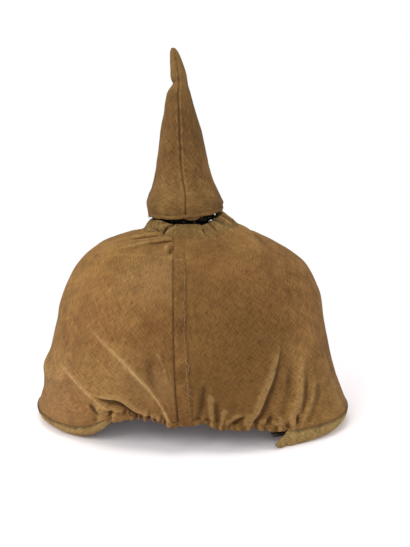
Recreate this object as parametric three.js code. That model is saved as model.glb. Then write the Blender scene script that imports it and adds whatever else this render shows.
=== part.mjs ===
// A spiked helmet in its field cover: a leather skull with two visors, a metal
// base and spike on top, and over it a cotton cover of two panels, a gathered
// neck, gathered ear hems, turned-under visor bands and a separate spike cover.
//
// Frame: millimetres, +Z up, +X to the front of the helmet, +Y to the wearer's
// left. The origin is on the surface it rests on, under the middle of the box.
// Angles run round +Z from the front, so -90 is the wearer's right ear.

import * as THREE from 'three';
import { mergeVertices } from 'three/addons/utils/BufferGeometryUtils.js';

// ---------------------------------------------------------------- sizes

const CLOTH = 1.2;            // wall of the cover
const GAP = 0.35;             // between pieces that meet
const HEM_GAP = 1.3;          // under the panels' slanted lower edges
const LEATHER = 2.4;          // wall of the skull and the visors
const PANEL_START = 0.03;     // where the panels end above the hems, in rise
const NECK_RISE = 0.95;       // where the panels end under the neck casing
const CASING_RISE = 0.965;    // where the foot of the neck casing lies
const FOLD_TRAVEL = 190;      // cloth length from hem to neck at a side
const SKULL_POWER = 2.1;      // roundness of the skull's ovals, 2 for an ellipse
const SPIKE_X = -6.5;         // axis of the metal spike
const SEAM_LIFT = 1.05;       // of a seam strip off the panels
const VISOR_INSET = 4;        // of a visor's edge from the cover's
const VISOR_TUCK = 6;         // of a visor's root inside the skull's rim
const VISOR_ROOT_Z = 22;      // top of a visor at its root and at its edge
const VISOR_EDGE_Z = 15;
const VISOR_DROOP = 4.5;      // of a visor's corners below its middle
const REST_LIP = 11;          // width of the flat of a visor band
const PANEL_ROWS = 12;        // level rows of facets up a panel and its seams

const COVER_COLOUR = 0x8f6a3c;
const COVER_DARK = 0x7d5a32;
const BAND_COLOUR = 0x8a7338;
const LEATHER_COLOUR = 0x15120f;
const METAL_COLOUR = 0x24211d;

// Level lines of the cover from hem to neck. foreZ and sideZ are the heights of
// the line at front and rear and at the ears; rear, front and half are how far
// it reaches that way.
const COVER_SECTIONS = [
  { foreZ: 9.5, sideZ: 26.5, rear: 130.5, front: 130.5, half: 90.5 },
  { foreZ: 18, sideZ: 35, rear: 127.5, front: 127.5, half: 92 },
  { foreZ: 33, sideZ: 48, rear: 124.5, front: 122, half: 92.8 },
  { foreZ: 54, sideZ: 62, rear: 119.5, front: 115.5, half: 92.8 },
  { foreZ: 80, sideZ: 82, rear: 112, front: 110, half: 90.5 },
  { foreZ: 106, sideZ: 104, rear: 105, front: 105.5, half: 85 },
  { foreZ: 130, sideZ: 124, rear: 92.5, front: 92.5, half: 73 },
  { foreZ: 145, sideZ: 140, rear: 76.5, front: 72, half: 57 },
  { foreZ: 153, sideZ: 150, rear: 58, front: 52, half: 44 },
  { foreZ: 157, sideZ: 155, rear: 41, front: 34, half: 33 },
];

// How far the lower edge has climbed from the visors to the ear hem.
const EDGE_CLIMB = [
  { angle: 0, climb: 0.02 },
  { angle: 14, climb: 0.06 },
  { angle: 43, climb: 0.07 },
  { angle: 46.5, climb: 0.14 },
  { angle: 49, climb: 0.29 },
  { angle: 54, climb: 0.43 },
  { angle: 62, climb: 0.55 },
  { angle: 76, climb: 0.64 },
  { angle: 83, climb: 0.78 },
  { angle: 90, climb: 0.73 },
  { angle: 96, climb: 0.75 },
  { angle: 101, climb: 0.9 },
  { angle: 108, climb: 0.93 },
  { angle: 117, climb: 0.87 },
  { angle: 124, climb: 0.82 },
  { angle: 128, climb: 0.68 },
  { angle: 132, climb: 0.44 },
  { angle: 138, climb: 0.13 },
  { angle: 143, climb: -0.01 },
  { angle: 155, climb: -0.08 },
  { angle: 166, climb: -0.02 },
  { angle: 180, climb: 0 },
];

// Edges of the felled side seams, at even steps of rise from hem to neck.
const SEAM_LINE = [
  { rearX: -8.0, frontX: 1.6 },
  { rearX: -9.8, frontX: 0.2 },
  { rearX: -11.2, frontX: -2.2 },
  { rearX: -11.9, frontX: -3.2 },
  { rearX: -12.6, frontX: -3.9 },
  { rearX: -12.9, frontX: -4.4 },
];

// Main folds of the right side: a line from one angle and rise to another, bent
// sideways by bow degrees at its middle. lift is its height, or its depth when
// below nought, and width its half width in millimetres.
const FOLDS = [
  { name: 'rear_diagonal', from: [-152, 0.54], to: [-98, 0.02], bow: 14, lift: 3, width: 7 },
  { name: 'rear_visor_ridge', from: [-156, 0.35], to: [-123, 0.02], bow: 7, lift: 2, width: 6 },
  { name: 'rear_pouch_ridge', from: [-136, 0.25], to: [-99, 0.01], bow: 0, lift: 2.8, width: 6 },
  { name: 'rear_pouch_valley', from: [-129, 0.17], to: [-109, 0.03], bow: 0, lift: -2.4, width: 5 },
  { name: 'seam_side_ridge', from: [-107, 0.43], to: [-99, 0.22], bow: 1, lift: 1, width: 4 },
  { name: 'seam_side_valley', from: [-109, 0.42], to: [-102, 0.13], bow: -1, lift: -1.8, width: 5 },
  { name: 'front_drape_ridge', from: [-46, 0.48], to: [-64, 0.01], bow: -1, lift: 2.8, width: 6 },
  { name: 'front_drape_valley', from: [-42, 0.42], to: [-52, 0.1], bow: -1, lift: -1.8, width: 5 },
  { name: 'front_visor_ridge', from: [-35, 0.43], to: [-47, 0.09], bow: 1.5, lift: 1.8, width: 5 },
  { name: 'front_corner_ridge', from: [-29, 0.33], to: [-42, 0.06], bow: 1, lift: 1.2, width: 5 },
  { name: 'seam_front_valley', from: [-83, 0.3], to: [-87, 0.06], bow: 0, lift: -1.8, width: 5 },
  { name: 'rear_brim_roll', from: [-146, 0.3], to: [-180, 0.29], bow: 0, lift: 2.6, width: 8 },
  { name: 'rear_top_tuck', from: [-112, 1], to: [-170, 0.81], bow: -8, lift: 2.4, width: 6 },
  { name: 'rear_top_valley', from: [-113, 0.95], to: [-156, 0.84], bow: 0, lift: -1.8, width: 5 },
  { name: 'front_neck_hump', from: [-52, 0.985], to: [0, 0.965], bow: 0, lift: 3.4, width: 12 },
  { name: 'front_shoulder_valley', from: [0, 1], to: [-32, 0.76], bow: 6, lift: -2.2, width: 6 },
];

// The top edge of the neck casing, all the way round.
const CASING_TOP = [
  { angle: -180, radius: 29.3, z: 164.6 },
  { angle: -132, radius: 31, z: 165.6 },
  { angle: -100, radius: 30.2, z: 163.8 },
  { angle: -66, radius: 29.6, z: 162.8 },
  { angle: -26, radius: 29, z: 168.6 },
  { angle: 0, radius: 28.8, z: 171.2 },
  { angle: 16, radius: 28.8, z: 170.4 },
  { angle: 46, radius: 30.2, z: 160.8 },
  { angle: 92, radius: 30.4, z: 162 },
  { angle: 180, radius: 29.3, z: 164.6 },
];

// The leather skull, from rim to crown.
const SKULL_SECTIONS = [
  { z: 25, rear: 103.5, front: 103.5, half: 84 },
  { z: 50, rear: 106, front: 105, half: 86 },
  { z: 78, rear: 106, front: 105, half: 86 },
  { z: 102, rear: 102.4, front: 102.4, half: 82.2 },
  { z: 122, rear: 91.3, front: 90.8, half: 70.2 },
  { z: 136, rear: 73.5, front: 71, half: 54 },
  { z: 145.5, rear: 48, front: 44, half: 36 },
  { z: 150, rear: 26, front: 22, half: 20 },
];

// The spike cover, from hem to limp tip: each ring's centre, radius and height.
const SPIKE_COVER_SECTIONS = [
  { x: -6.3, radius: 29.6, z: 173.5 },
  { x: -6.6, radius: 30.6, z: 180 },
  { x: -6.2, radius: 29.3, z: 185.5 },
  { x: -6.4, radius: 26.6, z: 190.5 },
  { x: -7.3, radius: 23.1, z: 200 },
  { x: -7.9, radius: 20.7, z: 210 },
  { x: -8.2, radius: 18.1, z: 224 },
  { x: -8.8, radius: 15.7, z: 238.5 },
  { x: -9.4, radius: 12.4, z: 253 },
  { x: -10, radius: 9.6, z: 264.5 },
  { x: -9.4, radius: 6.9, z: 272 },
  { x: -10.4, radius: 6.3, z: 281 },
  { x: -12, radius: 5, z: 290 },
  { x: -13.9, radius: 3.2, z: 299 },
];
const SPIKE_TIP = { x: -14.6, z: 301 };

// ------------------------------------------------------------- helpers

const radians = THREE.MathUtils.degToRad;
const mix = THREE.MathUtils.lerp;
const ease = (value) => THREE.MathUtils.smoothstep(value, 0, 1);

/** One smooth value between four neighbours, t from the second to the third. */
function smoothBetween(before, start, end, after, t) {
  const a = 2 * start;
  const b = end - before;
  const c = 2 * before - 5 * start + 4 * end - after;
  const d = 3 * start - before - 3 * end + after;
  return 0.5 * (a + b * t + c * t * t + d * t ** 3);
}

/** A row of a sections table at a rise of 0 (first row) to 1 (last row). */
function sectionAt(table, rise) {
  const place = THREE.MathUtils.clamp(rise, 0, 1) * (table.length - 1);
  const index = Math.min(Math.floor(place), table.length - 2);
  const rows = [index - 1, index, index + 1, index + 2].map(
    (i) => table[THREE.MathUtils.clamp(i, 0, table.length - 1)],
  );
  const row = {};
  for (const column of Object.keys(table[0])) {
    row[column] = smoothBetween(...rows.map((r) => r[column]), place - index);
  }
  return row;
}

/** A row of a table whose rows are placed by angle, in straight steps. */
function rowAtAngle(table, angle) {
  const next = Math.max(1, table.findIndex((row) => row.angle >= angle));
  const [low, high] = [table[next - 1], table[next]];
  const share = (angle - low.angle) / (high.angle - low.angle);
  const row = {};
  for (const column of Object.keys(low)) row[column] = mix(low[column], high[column], share);
  return row;
}

/** An angle as a turn of -180 to 180 degrees from the front. */
function turnOf(angle) {
  return THREE.MathUtils.euclideanModulo(angle + 180, 360) - 180;
}

/** Radius at an angle of an oval that reaches rear, front and half. */
function ovalRadius(angle, row, power) {
  const along = Math.cos(radians(angle));
  const across = Math.sin(radians(angle));
  const reach = along >= 0 ? row.front : row.rear;
  const sum = Math.abs(along / reach) ** power + Math.abs(across / row.half) ** power;
  return sum ** (-1 / power);
}

/** The cover without its folds, at an angle and a rise. */
function coverBase(angle, rise) {
  const row = sectionAt(COVER_SECTIONS, rise);
  const hemPower = Math.cos(radians(angle)) >= 0 ? 2.4 : 2.02;
  const radius = ovalRadius(angle, row, mix(hemPower, 2.08, ease(rise / 0.4)));
  const broad = Math.sin(radians(angle)) ** 2;
  const edge = rowAtAngle(EDGE_CLIMB, Math.abs(turnOf(angle))).climb;
  const climb = mix(edge, broad, ease(rise / 0.45));
  return new THREE.Vector3(
    radius * Math.cos(radians(angle)),
    radius * Math.sin(radians(angle)),
    mix(row.foreZ, row.sideZ, climb),
  );
}

/** Sum of the folds' heights at an angle and a rise of the cover. */
function foldHeight(angle, rise) {
  const turn = turnOf(angle);
  const own = -Math.abs(turn);
  const scale = coverBase(own, rise).setZ(0).length() * radians(1);
  let height = 0;
  for (const fold of FOLDS) {
    let nearest = Infinity;
    let place = 0;
    for (let t = 0; t <= 1; t += 0.1) {
      const bend = 4 * t * (1 - t) * fold.bow;
      const across = (own - mix(fold.from[0], fold.to[0], t) - bend) * scale;
      const along = (rise - mix(fold.from[1], fold.to[1], t)) * FOLD_TRAVEL;
      const distance = Math.hypot(across, along);
      if (distance < nearest) {
        nearest = distance;
        place = t;
      }
    }
    const fade = ease(place / 0.3 + 0.15);
    height += fold.lift * fade * Math.exp(-((nearest / fold.width) ** 2));
  }
  const calmSeam = ease(Math.abs(own - angleAtX(seamSplit(rise), rise)) / 12);
  const calmLeft = 1 - 0.25 * ease(2 * Math.sin(radians(turn)));
  return height * calmLeft * calmSeam;
}

/** The outward unit normal of a surface given as a function of angle and rise. */
function outward(surface, angle, rise) {
  const step = 0.004;
  const turn = 0.4;
  const up = surface(angle, Math.min(rise + step, 1)).sub(surface(angle, Math.max(rise - step, 0)));
  const round = surface(angle + turn, rise).sub(surface(angle - turn, rise));
  return round.cross(up).normalize();
}

/** The cover with its folds, pushed out by an offset. */
function coverSurface(angle, rise, offset = 0) {
  const normal = outward(coverBase, angle, rise);
  return coverBase(angle, rise).addScaledVector(normal, foldHeight(angle, rise) + offset);
}

/** Where the front and rear panel meet, under the middle of a side seam. */
function seamSplit(rise) {
  const line = sectionAt(SEAM_LINE, rise);
  return (line.rearX + line.frontX) / 2;
}

/** The angle at which the right side of the cover passes a given X. */
function angleAtX(x, rise) {
  const half = sectionAt(COVER_SECTIONS, rise).half;
  return -90 + THREE.MathUtils.radToDeg(Math.asin(x / Math.hypot(x, half)));
}

/**
 * A closed wall between an outer and an inner grid of points.
 * outer(u, v) and inner(u, v) take u and v from 0 to 1, u to the left seen
 * from outside with v up. loop joins the last column to the first, and cap
 * closes the top with one point each.
 */
function wall({ columns, rows, outer, inner, loop = false, cap = null }) {
  const points = [];
  const faces = [];
  const across = loop ? columns : columns + 1;
  const indexOf = (side, i, j) => side * across * (rows + 1) + j * across + (i % across);
  for (const surface of [outer, inner]) {
    for (let j = 0; j <= rows; j += 1) {
      for (let i = 0; i < across; i += 1) points.push(surface(i / columns, j / rows));
    }
  }
  const quad = (...corners) => {
    const [a, b, c, d] = corners.map(([side, i, j]) => indexOf(side, i, j));
    faces.push(a, b, c, a, c, d);
  };
  for (let i = 0; i < columns; i += 1) {
    for (let j = 0; j < rows; j += 1) {
      quad([0, i, j], [0, i + 1, j], [0, i + 1, j + 1], [0, i, j + 1]);
      quad([1, i, j], [1, i, j + 1], [1, i + 1, j + 1], [1, i + 1, j]);
    }
    quad([1, i, 0], [1, i + 1, 0], [0, i + 1, 0], [0, i, 0]);
    if (!cap) quad([0, i, rows], [0, i + 1, rows], [1, i + 1, rows], [1, i, rows]);
  }
  if (!loop) {
    for (let j = 0; j < rows; j += 1) {
      quad([0, 0, j], [0, 0, j + 1], [1, 0, j + 1], [1, 0, j]);
      quad([1, columns, j], [1, columns, j + 1], [0, columns, j + 1], [0, columns, j]);
    }
  }
  if (cap) {
    const top = points.push(cap.outer, cap.inner) - 2;
    for (let i = 0; i < columns; i += 1) {
      faces.push(indexOf(0, i, rows), indexOf(0, i + 1, rows), top);
      faces.push(indexOf(1, i + 1, rows), indexOf(1, i, rows), top + 1);
    }
  }
  return solid(points, faces);
}

/** A closed body swept through stations, each a ring of points in one order. */
function sweep(stations, loop = false) {
  const sides = stations[0].length;
  const count = stations.length;
  const faces = [];
  const indexOf = (i, j) => (i % count) * sides + (j % sides);
  const last = loop ? count : count - 1;
  for (let i = 0; i < last; i += 1) {
    for (let j = 0; j < sides; j += 1) {
      const [a, b] = [indexOf(i, j), indexOf(i + 1, j)];
      const [c, d] = [indexOf(i + 1, j + 1), indexOf(i, j + 1)];
      faces.push(a, b, c, a, c, d);
    }
  }
  if (!loop) {
    for (const end of [0, count - 1]) {
      const outline = stations[end].map((p) => new THREE.Vector2(Math.hypot(p.x, p.y), p.z));
      const forward = THREE.ShapeUtils.area(outline) > 0;
      for (const corner of THREE.ShapeUtils.triangulateShape(outline, [])) {
        const face = corner.map((k) => end * sides + k);
        faces.push(...(forward === (end === 0) ? face : face.reverse()));
      }
    }
  }
  return solid(stations.flat(), faces);
}

/** Points and faces as a geometry with flat, outward faces. */
function solid(points, faces) {
  const geometry = new THREE.BufferGeometry().setFromPoints(points);
  geometry.setIndex(faces);
  return mergeVertices(geometry, 1e-4);
}

/** A three.js surface geometry with only its merged positions. */
function plain(geometry) {
  geometry.deleteAttribute('normal');
  geometry.deleteAttribute('uv');
  return mergeVertices(geometry, 1e-4);
}

const helmet = new THREE.Group();

/** Adds one named sub-part to the helmet. */
function addPart(name, geometry, color, roughness, metalness = 0) {
  const material = new THREE.MeshStandardMaterial({ color, roughness, metalness });
  const mesh = new THREE.Mesh(geometry, material);
  mesh.name = name;
  helmet.add(mesh);
  return mesh;
}

// -------------------------------------------------- leather helmet inside

function leatherSkull() {
  const surface = (inset) => (u, v) => {
    const angle = u * 360;
    const row = sectionAt(SKULL_SECTIONS, v);
    const base = (a, rise) => {
      const level = sectionAt(SKULL_SECTIONS, rise);
      const radius = ovalRadius(a, level, SKULL_POWER);
      return new THREE.Vector3(radius * Math.cos(radians(a)), radius * Math.sin(radians(a)), level.z);
    };
    const point = base(angle, v);
    const drop = v === 0 ? 0 : inset;
    const normal = outward(base, angle, v);
    point.addScaledVector(normal, -drop);
    if (v === 0) point.addScaledVector(normal.setZ(0).normalize(), -inset);
    return point.setZ(v === 0 ? row.z : point.z);
  };
  return wall({
    columns: 28,
    rows: 7,
    loop: true,
    outer: surface(0),
    inner: surface(LEATHER),
    cap: { outer: new THREE.Vector3(-2, 0, 151.5), inner: new THREE.Vector3(-2, 0, 151.5 - LEATHER) },
  });
}

/** A stiff leather visor: from under the skull's rim out to the cover's edge. */
function leatherVisor(middle, spread) {
  const columns = 16;
  const stations = [];
  for (let i = 0; i <= columns; i += 1) {
    const angle = middle + mix(-spread, spread, i / columns);
    const rim = coverBase(angle, PANEL_START);
    const side = Math.abs(2 * (i / columns) - 1);
    const reach = rim.clone().setZ(0).length() - VISOR_INSET;
    const root = ovalRadius(angle, SKULL_SECTIONS[0], SKULL_POWER) - VISOR_TUCK;
    const tipZ = VISOR_EDGE_Z - VISOR_DROOP * ease(side);
    const at = (radius, z) => new THREE.Vector3(
      radius * Math.cos(radians(angle)),
      radius * Math.sin(radians(angle)),
      z,
    );
    const middleZ = mix(VISOR_ROOT_Z, tipZ, 0.45);
    stations.push([
      at(root, VISOR_ROOT_Z),
      at(mix(root, reach, 0.5), middleZ),
      at(reach, tipZ),
      at(reach, tipZ - LEATHER),
      at(mix(root, reach, 0.5), middleZ - LEATHER),
      at(root, VISOR_ROOT_Z - LEATHER),
    ].reverse());
  }
  return sweep(stations);
}

/** The spike's round base plate and the neck that rises out of it. */
function spikeBase() {
  const profile = [
    [0, 152], [29, 152], [29, 153], [23, 154.4], [21, 158],
    [20, 163], [21, 164.6], [0, 164.6],
  ].map(([radius, z]) => new THREE.Vector2(radius, z));
  return plain(new THREE.LatheGeometry(profile, 24).rotateX(Math.PI / 2));
}

/** The ring of small balls between the neck and the spike, in one piece. */
function pearlRing() {
  const balls = 16;
  const steps = 4;
  const stations = [];
  for (let i = 0; i < balls * steps; i += 1) {
    const angle = (i * 360) / (balls * steps);
    const swell = Math.abs(Math.sin(radians(angle * balls) / 2));
    const thick = mix(1.7, 3, swell);
    const ring = [];
    for (let k = 0; k < 5; k += 1) {
      const radius = 23.5 + thick * Math.cos(radians(k * 72));
      const z = 167.4 + Math.min(thick, 2.5) * Math.sin(radians(k * 72));
      ring.push(new THREE.Vector3(
        SPIKE_X + radius * Math.cos(radians(angle)),
        radius * Math.sin(radians(angle)),
        z,
      ));
    }
    stations.push(ring);
  }
  return sweep(stations, true);
}

/** The spike itself: a plain flared cone, hidden under its cover. */
function spike() {
  const profile = [
    [0, 170.2], [24, 170.2], [24.5, 173], [19, 182], [15.5, 200],
    [10, 232], [4.5, 258], [2.5, 266], [0, 267.5],
  ].map(([radius, z]) => new THREE.Vector2(radius, z));
  return plain(new THREE.LatheGeometry(profile, 20).rotateX(Math.PI / 2));
}

// ------------------------------------------------------- the crown cover

/** One of the two panels, between the seams under their strips. */
function coverPanel(isFront) {
  const surface = (offset) => (u, v) => {
    const rise = mix(PANEL_START, NECK_RISE, v);
    const split = seamSplit(rise) + (isFront ? GAP / 2 : -GAP / 2);
    const right = angleAtX(split, rise);
    const angle = isFront ? mix(right, -right, u) : mix(-right, right + 360, u);
    return coverSurface(angle, rise, offset);
  };
  return wall({ columns: 31, rows: PANEL_ROWS, outer: surface(0), inner: surface(-CLOTH) });
}

/** A felled seam down one side: a strip on top of both panels' edges. */
function felledSeam(side) {
  const surface = (offset) => (u, v) => {
    const rise = mix(PANEL_START, NECK_RISE, v);
    const { rearX, frontX } = sectionAt(SEAM_LINE, rise);
    const start = side < 0 ? angleAtX(rearX, rise) : -angleAtX(frontX, rise);
    const end = side < 0 ? angleAtX(frontX, rise) : -angleAtX(rearX, rise);
    return coverSurface(mix(start, end, u), rise, offset);
  };
  return wall({ columns: 2, rows: PANEL_ROWS, outer: surface(SEAM_LIFT + 1), inner: surface(SEAM_LIFT) });
}

/** The turned-under band below a visor's edge, with the flat it rests on. */
function visorBand(middle, spread, taperEnds) {
  const columns = 24;
  const stations = [];
  for (let i = 0; i <= columns; i += 1) {
    const angle = middle + mix(-spread, spread, i / columns);
    const rim = coverBase(angle, PANEL_START);
    const radius = rim.clone().setZ(0).length();
    const top = rim.z - HEM_GAP;
    const side = Math.abs(2 * (i / columns) - 1);
    const lift = taperEnds ? (top - 4.5) * ease((side - 0.6) / 0.36) : 0;
    const at = (inset, z) => new THREE.Vector3(
      (radius - inset) * Math.cos(radians(angle)),
      (radius - inset) * Math.sin(radians(angle)),
      z,
    );
    const lip = mix(REST_LIP, 4, taperEnds ? ease((side - 0.72) / 0.28) : 0);
    stations.push([
      at(0.3, top),
      at(0.1, mix(lift, top, 0.55)),
      at(1.6, mix(lift, top, 0.2)),
      at(4, lift),
      at(4 + lip, lift),
      at(4 + lip, lift + 1.5),
      at(4.6, lift + 1.5),
      at(2.9, mix(lift + 1.5, top, 0.3)),
      at(1.9, top),
    ].reverse());
  }
  return sweep(stations);
}

/** The gathered hem over one ear, a small ruffled roll. */
function earHem(start, end) {
  const columns = 36;
  const stations = [];
  for (let i = 0; i <= columns; i += 1) {
    const angle = mix(start, end, i / columns);
    const rim = coverBase(angle, PANEL_START);
    const radius = rim.clone().setZ(0).length();
    const ruffle = 0.7 * Math.sin(i * 2.4) + 0.4 * Math.sin(i * 1.1);
    const at = (inset, z) => new THREE.Vector3(
      (radius - inset + ruffle) * Math.cos(radians(angle)),
      (radius - inset + ruffle) * Math.sin(radians(angle)),
      z,
    );
    const top = rim.z - HEM_GAP;
    stations.push([
      at(0.2, top),
      at(-0.4, top - 2),
      at(0.6, top - 4.2),
      at(2.2, top - 3.4),
      at(2, top - 0.6),
    ].reverse());
  }
  return sweep(stations);
}

/** The gathered neck casing: a standing ruffled ring. */
function neckCasing() {
  const surface = (offset) => (u, v) => {
    const angle = u * 360;
    const foot = coverBase(angle, CASING_RISE);
    const footRadius = foot.clone().setZ(0).length() - 0.6;
    const top = rowAtAngle(CASING_TOP, turnOf(angle));
    const ruffle = 0.5 * Math.sin(radians(angle * 17)) + 0.35 * Math.sin(radians(angle * 9 + 40));
    const radius = mix(footRadius, top.radius, v) + ruffle + offset;
    const lean = mix(0, SPIKE_X / 2, v);
    return new THREE.Vector3(
      lean + radius * Math.cos(radians(angle)),
      radius * Math.sin(radians(angle)),
      mix(foot.z + 0.6, top.z, v),
    );
  };
  return wall({ columns: 52, rows: 2, loop: true, outer: surface(0), inner: surface(-1.8) });
}

// ------------------------------------------------------- the spike cover

/** The spike cover: a tall hollow cone of cloth with a limp, bent tip. */
function spikeCover() {
  const rows = 15;
  const surface = (inset) => (u, v) => {
    const row = sectionAt(SPIKE_COVER_SECTIONS, v);
    const angle = radians(u * 360);
    const radius = Math.max(row.radius - inset, row.radius * 0.35);
    return new THREE.Vector3(row.x + radius * Math.cos(angle), radius * Math.sin(angle), row.z);
  };
  return wall({
    columns: 20,
    rows,
    loop: true,
    outer: surface(0),
    inner: surface(CLOTH),
    cap: {
      outer: new THREE.Vector3(SPIKE_TIP.x, 0, SPIKE_TIP.z),
      inner: new THREE.Vector3(SPIKE_TIP.x + 0.5, 0, SPIKE_TIP.z - 1.2),
    },
  });
}

/** The turned-up hem at the foot of the spike cover. */
function spikeCoverHem() {
  const foot = SPIKE_COVER_SECTIONS[0];
  const surface = (inset) => (u, v) => {
    const angle = radians(u * 360);
    const droop = 1.8 * ease(-Math.sin(angle)) - 1.6 * Math.cos(angle) ** 3;
    const radius = foot.radius - inset + 0.5 * v;
    const z = mix(foot.z - 3.6 - droop, foot.z - GAP, v);
    return new THREE.Vector3(foot.x + radius * Math.cos(angle), radius * Math.sin(angle), z);
  };
  return wall({ columns: 24, rows: 1, loop: true, outer: surface(0), inner: surface(1.4) });
}

// ------------------------------------------------------------ assembly

addPart('leather_skull', leatherSkull(), LEATHER_COLOUR, 0.45);
addPart('front_visor', leatherVisor(0, 52), LEATHER_COLOUR, 0.4);
addPart('rear_visor', leatherVisor(180, 43), LEATHER_COLOUR, 0.4);
const base = addPart('spike_base', spikeBase(), METAL_COLOUR, 0.35, 0.8);
addPart('pearl_ring', pearlRing(), METAL_COLOUR, 0.3, 0.8);
const spikeMesh = addPart('spike', spike(), METAL_COLOUR, 0.4, 0.8);
base.position.x = SPIKE_X;
spikeMesh.position.x = SPIKE_X;

addPart('cover_front_panel', coverPanel(true), COVER_COLOUR, 0.95);
addPart('cover_rear_panel', coverPanel(false), COVER_COLOUR, 0.95);
addPart('right_felled_seam', felledSeam(-1), COVER_DARK, 0.95);
addPart('left_felled_seam', felledSeam(1), COVER_DARK, 0.95);
addPart('neck_casing', neckCasing(), COVER_DARK, 0.95);
addPart('front_visor_band', visorBand(0, 52.4, false), BAND_COLOUR, 0.95);
addPart('rear_visor_band', visorBand(180, 56, true), BAND_COLOUR, 0.95);
addPart('right_ear_hem', earHem(-123, -53), COVER_DARK, 0.95);
addPart('left_ear_hem', earHem(53, 123), COVER_DARK, 0.95);
addPart('spike_cover', spikeCover(), COVER_COLOUR, 0.95);
addPart('spike_cover_hem', spikeCoverHem(), COVER_DARK, 0.95);

export default helmet;
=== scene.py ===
"""A spiked helmet under its cotton field cover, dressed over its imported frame.

The frame holds the helmet's pieces as plain solids. This script makes the cloth
cover over them as fine gathered sheets, sews it with thread, and gives leather,
metal and cotton their finishes. Shapes are worked out in millimetres and degrees
in the frame's own axes: +X to the front, +Y to the wearer's left, +Z up. Angles
run round +Z from the front, so the wearer's right ear is at -90.
"""

from __future__ import annotations

import logging
import math
from dataclasses import dataclass, field
from enum import Enum
from typing import Any, Callable, Sequence

import bpy
import numpy as np
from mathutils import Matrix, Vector

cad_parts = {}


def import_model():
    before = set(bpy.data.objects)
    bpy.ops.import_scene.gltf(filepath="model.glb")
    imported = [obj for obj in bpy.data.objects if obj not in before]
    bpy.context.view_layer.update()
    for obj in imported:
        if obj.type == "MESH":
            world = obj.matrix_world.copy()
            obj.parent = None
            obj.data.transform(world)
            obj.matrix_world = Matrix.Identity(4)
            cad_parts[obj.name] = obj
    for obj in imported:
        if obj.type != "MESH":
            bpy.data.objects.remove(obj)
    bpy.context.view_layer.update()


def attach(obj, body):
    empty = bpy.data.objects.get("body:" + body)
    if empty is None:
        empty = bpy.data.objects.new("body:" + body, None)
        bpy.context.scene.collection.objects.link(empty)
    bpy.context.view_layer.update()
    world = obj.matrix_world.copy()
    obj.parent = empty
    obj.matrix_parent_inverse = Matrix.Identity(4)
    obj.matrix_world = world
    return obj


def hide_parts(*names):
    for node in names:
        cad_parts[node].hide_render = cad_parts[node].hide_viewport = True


LOG = logging.getLogger("helmet")
MM = 0.001
RIGHT, LEFT = -1, 1

Array = np.ndarray
Surface = Callable[[Array, Array], tuple[Array, ...]]
Colour = tuple[float, float, float]


# ---------------------------------------------------------------- small maths


def ease(value: Array | float) -> Array | float:
    """A smooth step from 0 to 1 of a value between 0 and 1."""
    held = np.clip(value, 0.0, 1.0)
    return held * held * (3 - 2 * held)


def mix(start: Any, end: Any, share: Any) -> Any:
    """The value a share of the way from start to end."""
    return start + (end - start) * share


def bell(distance: Array, width: float) -> Array:
    """A soft bump, 1 at no distance and almost 0 at twice the width."""
    return np.exp(-((distance / width) ** 2))


def turned(angle: Array) -> Array:
    """Angles brought between -180 and 180."""
    return (angle + 180) % 360 - 180


def table(*rows: Sequence[float]) -> Array:
    """Rows of numbers as an array, with one column for each quantity."""
    return np.array(rows, float)


def read(rows: Array, at: Array, column: int = 1) -> Array:
    """One column of a table, read at places in its first column."""
    return np.interp(at, rows[:, 0], rows[:, column])


def four_rows(place: Array, last: int) -> tuple[list[Array], Array]:
    """The four rows of a table round each place.

    Args:
        place: where between the first row, 0, and the last row, 1.
        last: the last row's number.

    Returns:
        The rows' numbers, and how far each place is from the second to the third.
    """
    position = np.clip(place, 0, 1) * last
    index = np.minimum(position.astype(int), last - 1)
    rows = [np.clip(index + k, 0, last) for k in (-1, 0, 1, 2)]
    return rows, (position - index)[..., None]


def spline(rows: Sequence[Array], t: Array) -> Array:
    """The smooth way between the middle two of four rows."""
    before, start, end, after = rows
    square = 2 * before - 5 * start + 4 * end - after
    cube = 3 * start - before - 3 * end + after
    return 0.5 * (2 * start + (end - before) * t + square * t**2 + cube * t**3)


def columns(rows: Array, place: Array) -> Array:
    """A table's columns, smoothly blended.

    Args:
        rows: a table with one row for each level.
        place: where between the first row, 0, and the last row, 1.

    Returns:
        One array for each column, shaped like place.
    """
    near, t = four_rows(place, len(rows) - 1)
    return np.moveaxis(spline([rows[row] for row in near], t), -1, 0)


def ring_points(angle: Array, radius: Any, z: Array, centre: Any = 0.0) -> Array:
    """Points round an upright axis that stands at a centre on X."""
    way = np.radians(angle)
    return np.stack([centre + radius * np.cos(way), radius * np.sin(way), z], -1)


def ripples(points: Array, wavelength: float, seed: int, waves: int = 20) -> Array:
    """A smooth random height from about -1 to 1 over points in space.

    Args:
        points: positions in millimetres, with x, y and z on the last axis.
        wavelength: the usual distance between two crests, in millimetres.
        seed: picks the pattern.
        waves: how many plain waves are summed.

    Returns:
        One height for each point.
    """
    draw = np.random.default_rng(seed)
    total = np.zeros(points.shape[:-1])
    for _ in range(waves):
        direction = draw.normal(size=3)
        direction /= np.linalg.norm(direction)
        pace = 2 * math.pi / (wavelength * draw.uniform(0.7, 1.6))
        total += np.sin(points @ direction * pace + draw.uniform(0, 2 * math.pi))
    return total / math.sqrt(waves)


def crumple(points: Array, *layers: tuple[float, float, int]) -> Array:
    """Ripples in layers, each given by its height, wavelength and seed."""
    return sum(height * ripples(points, wavelength, seed) for height, wavelength, seed in layers)


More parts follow.
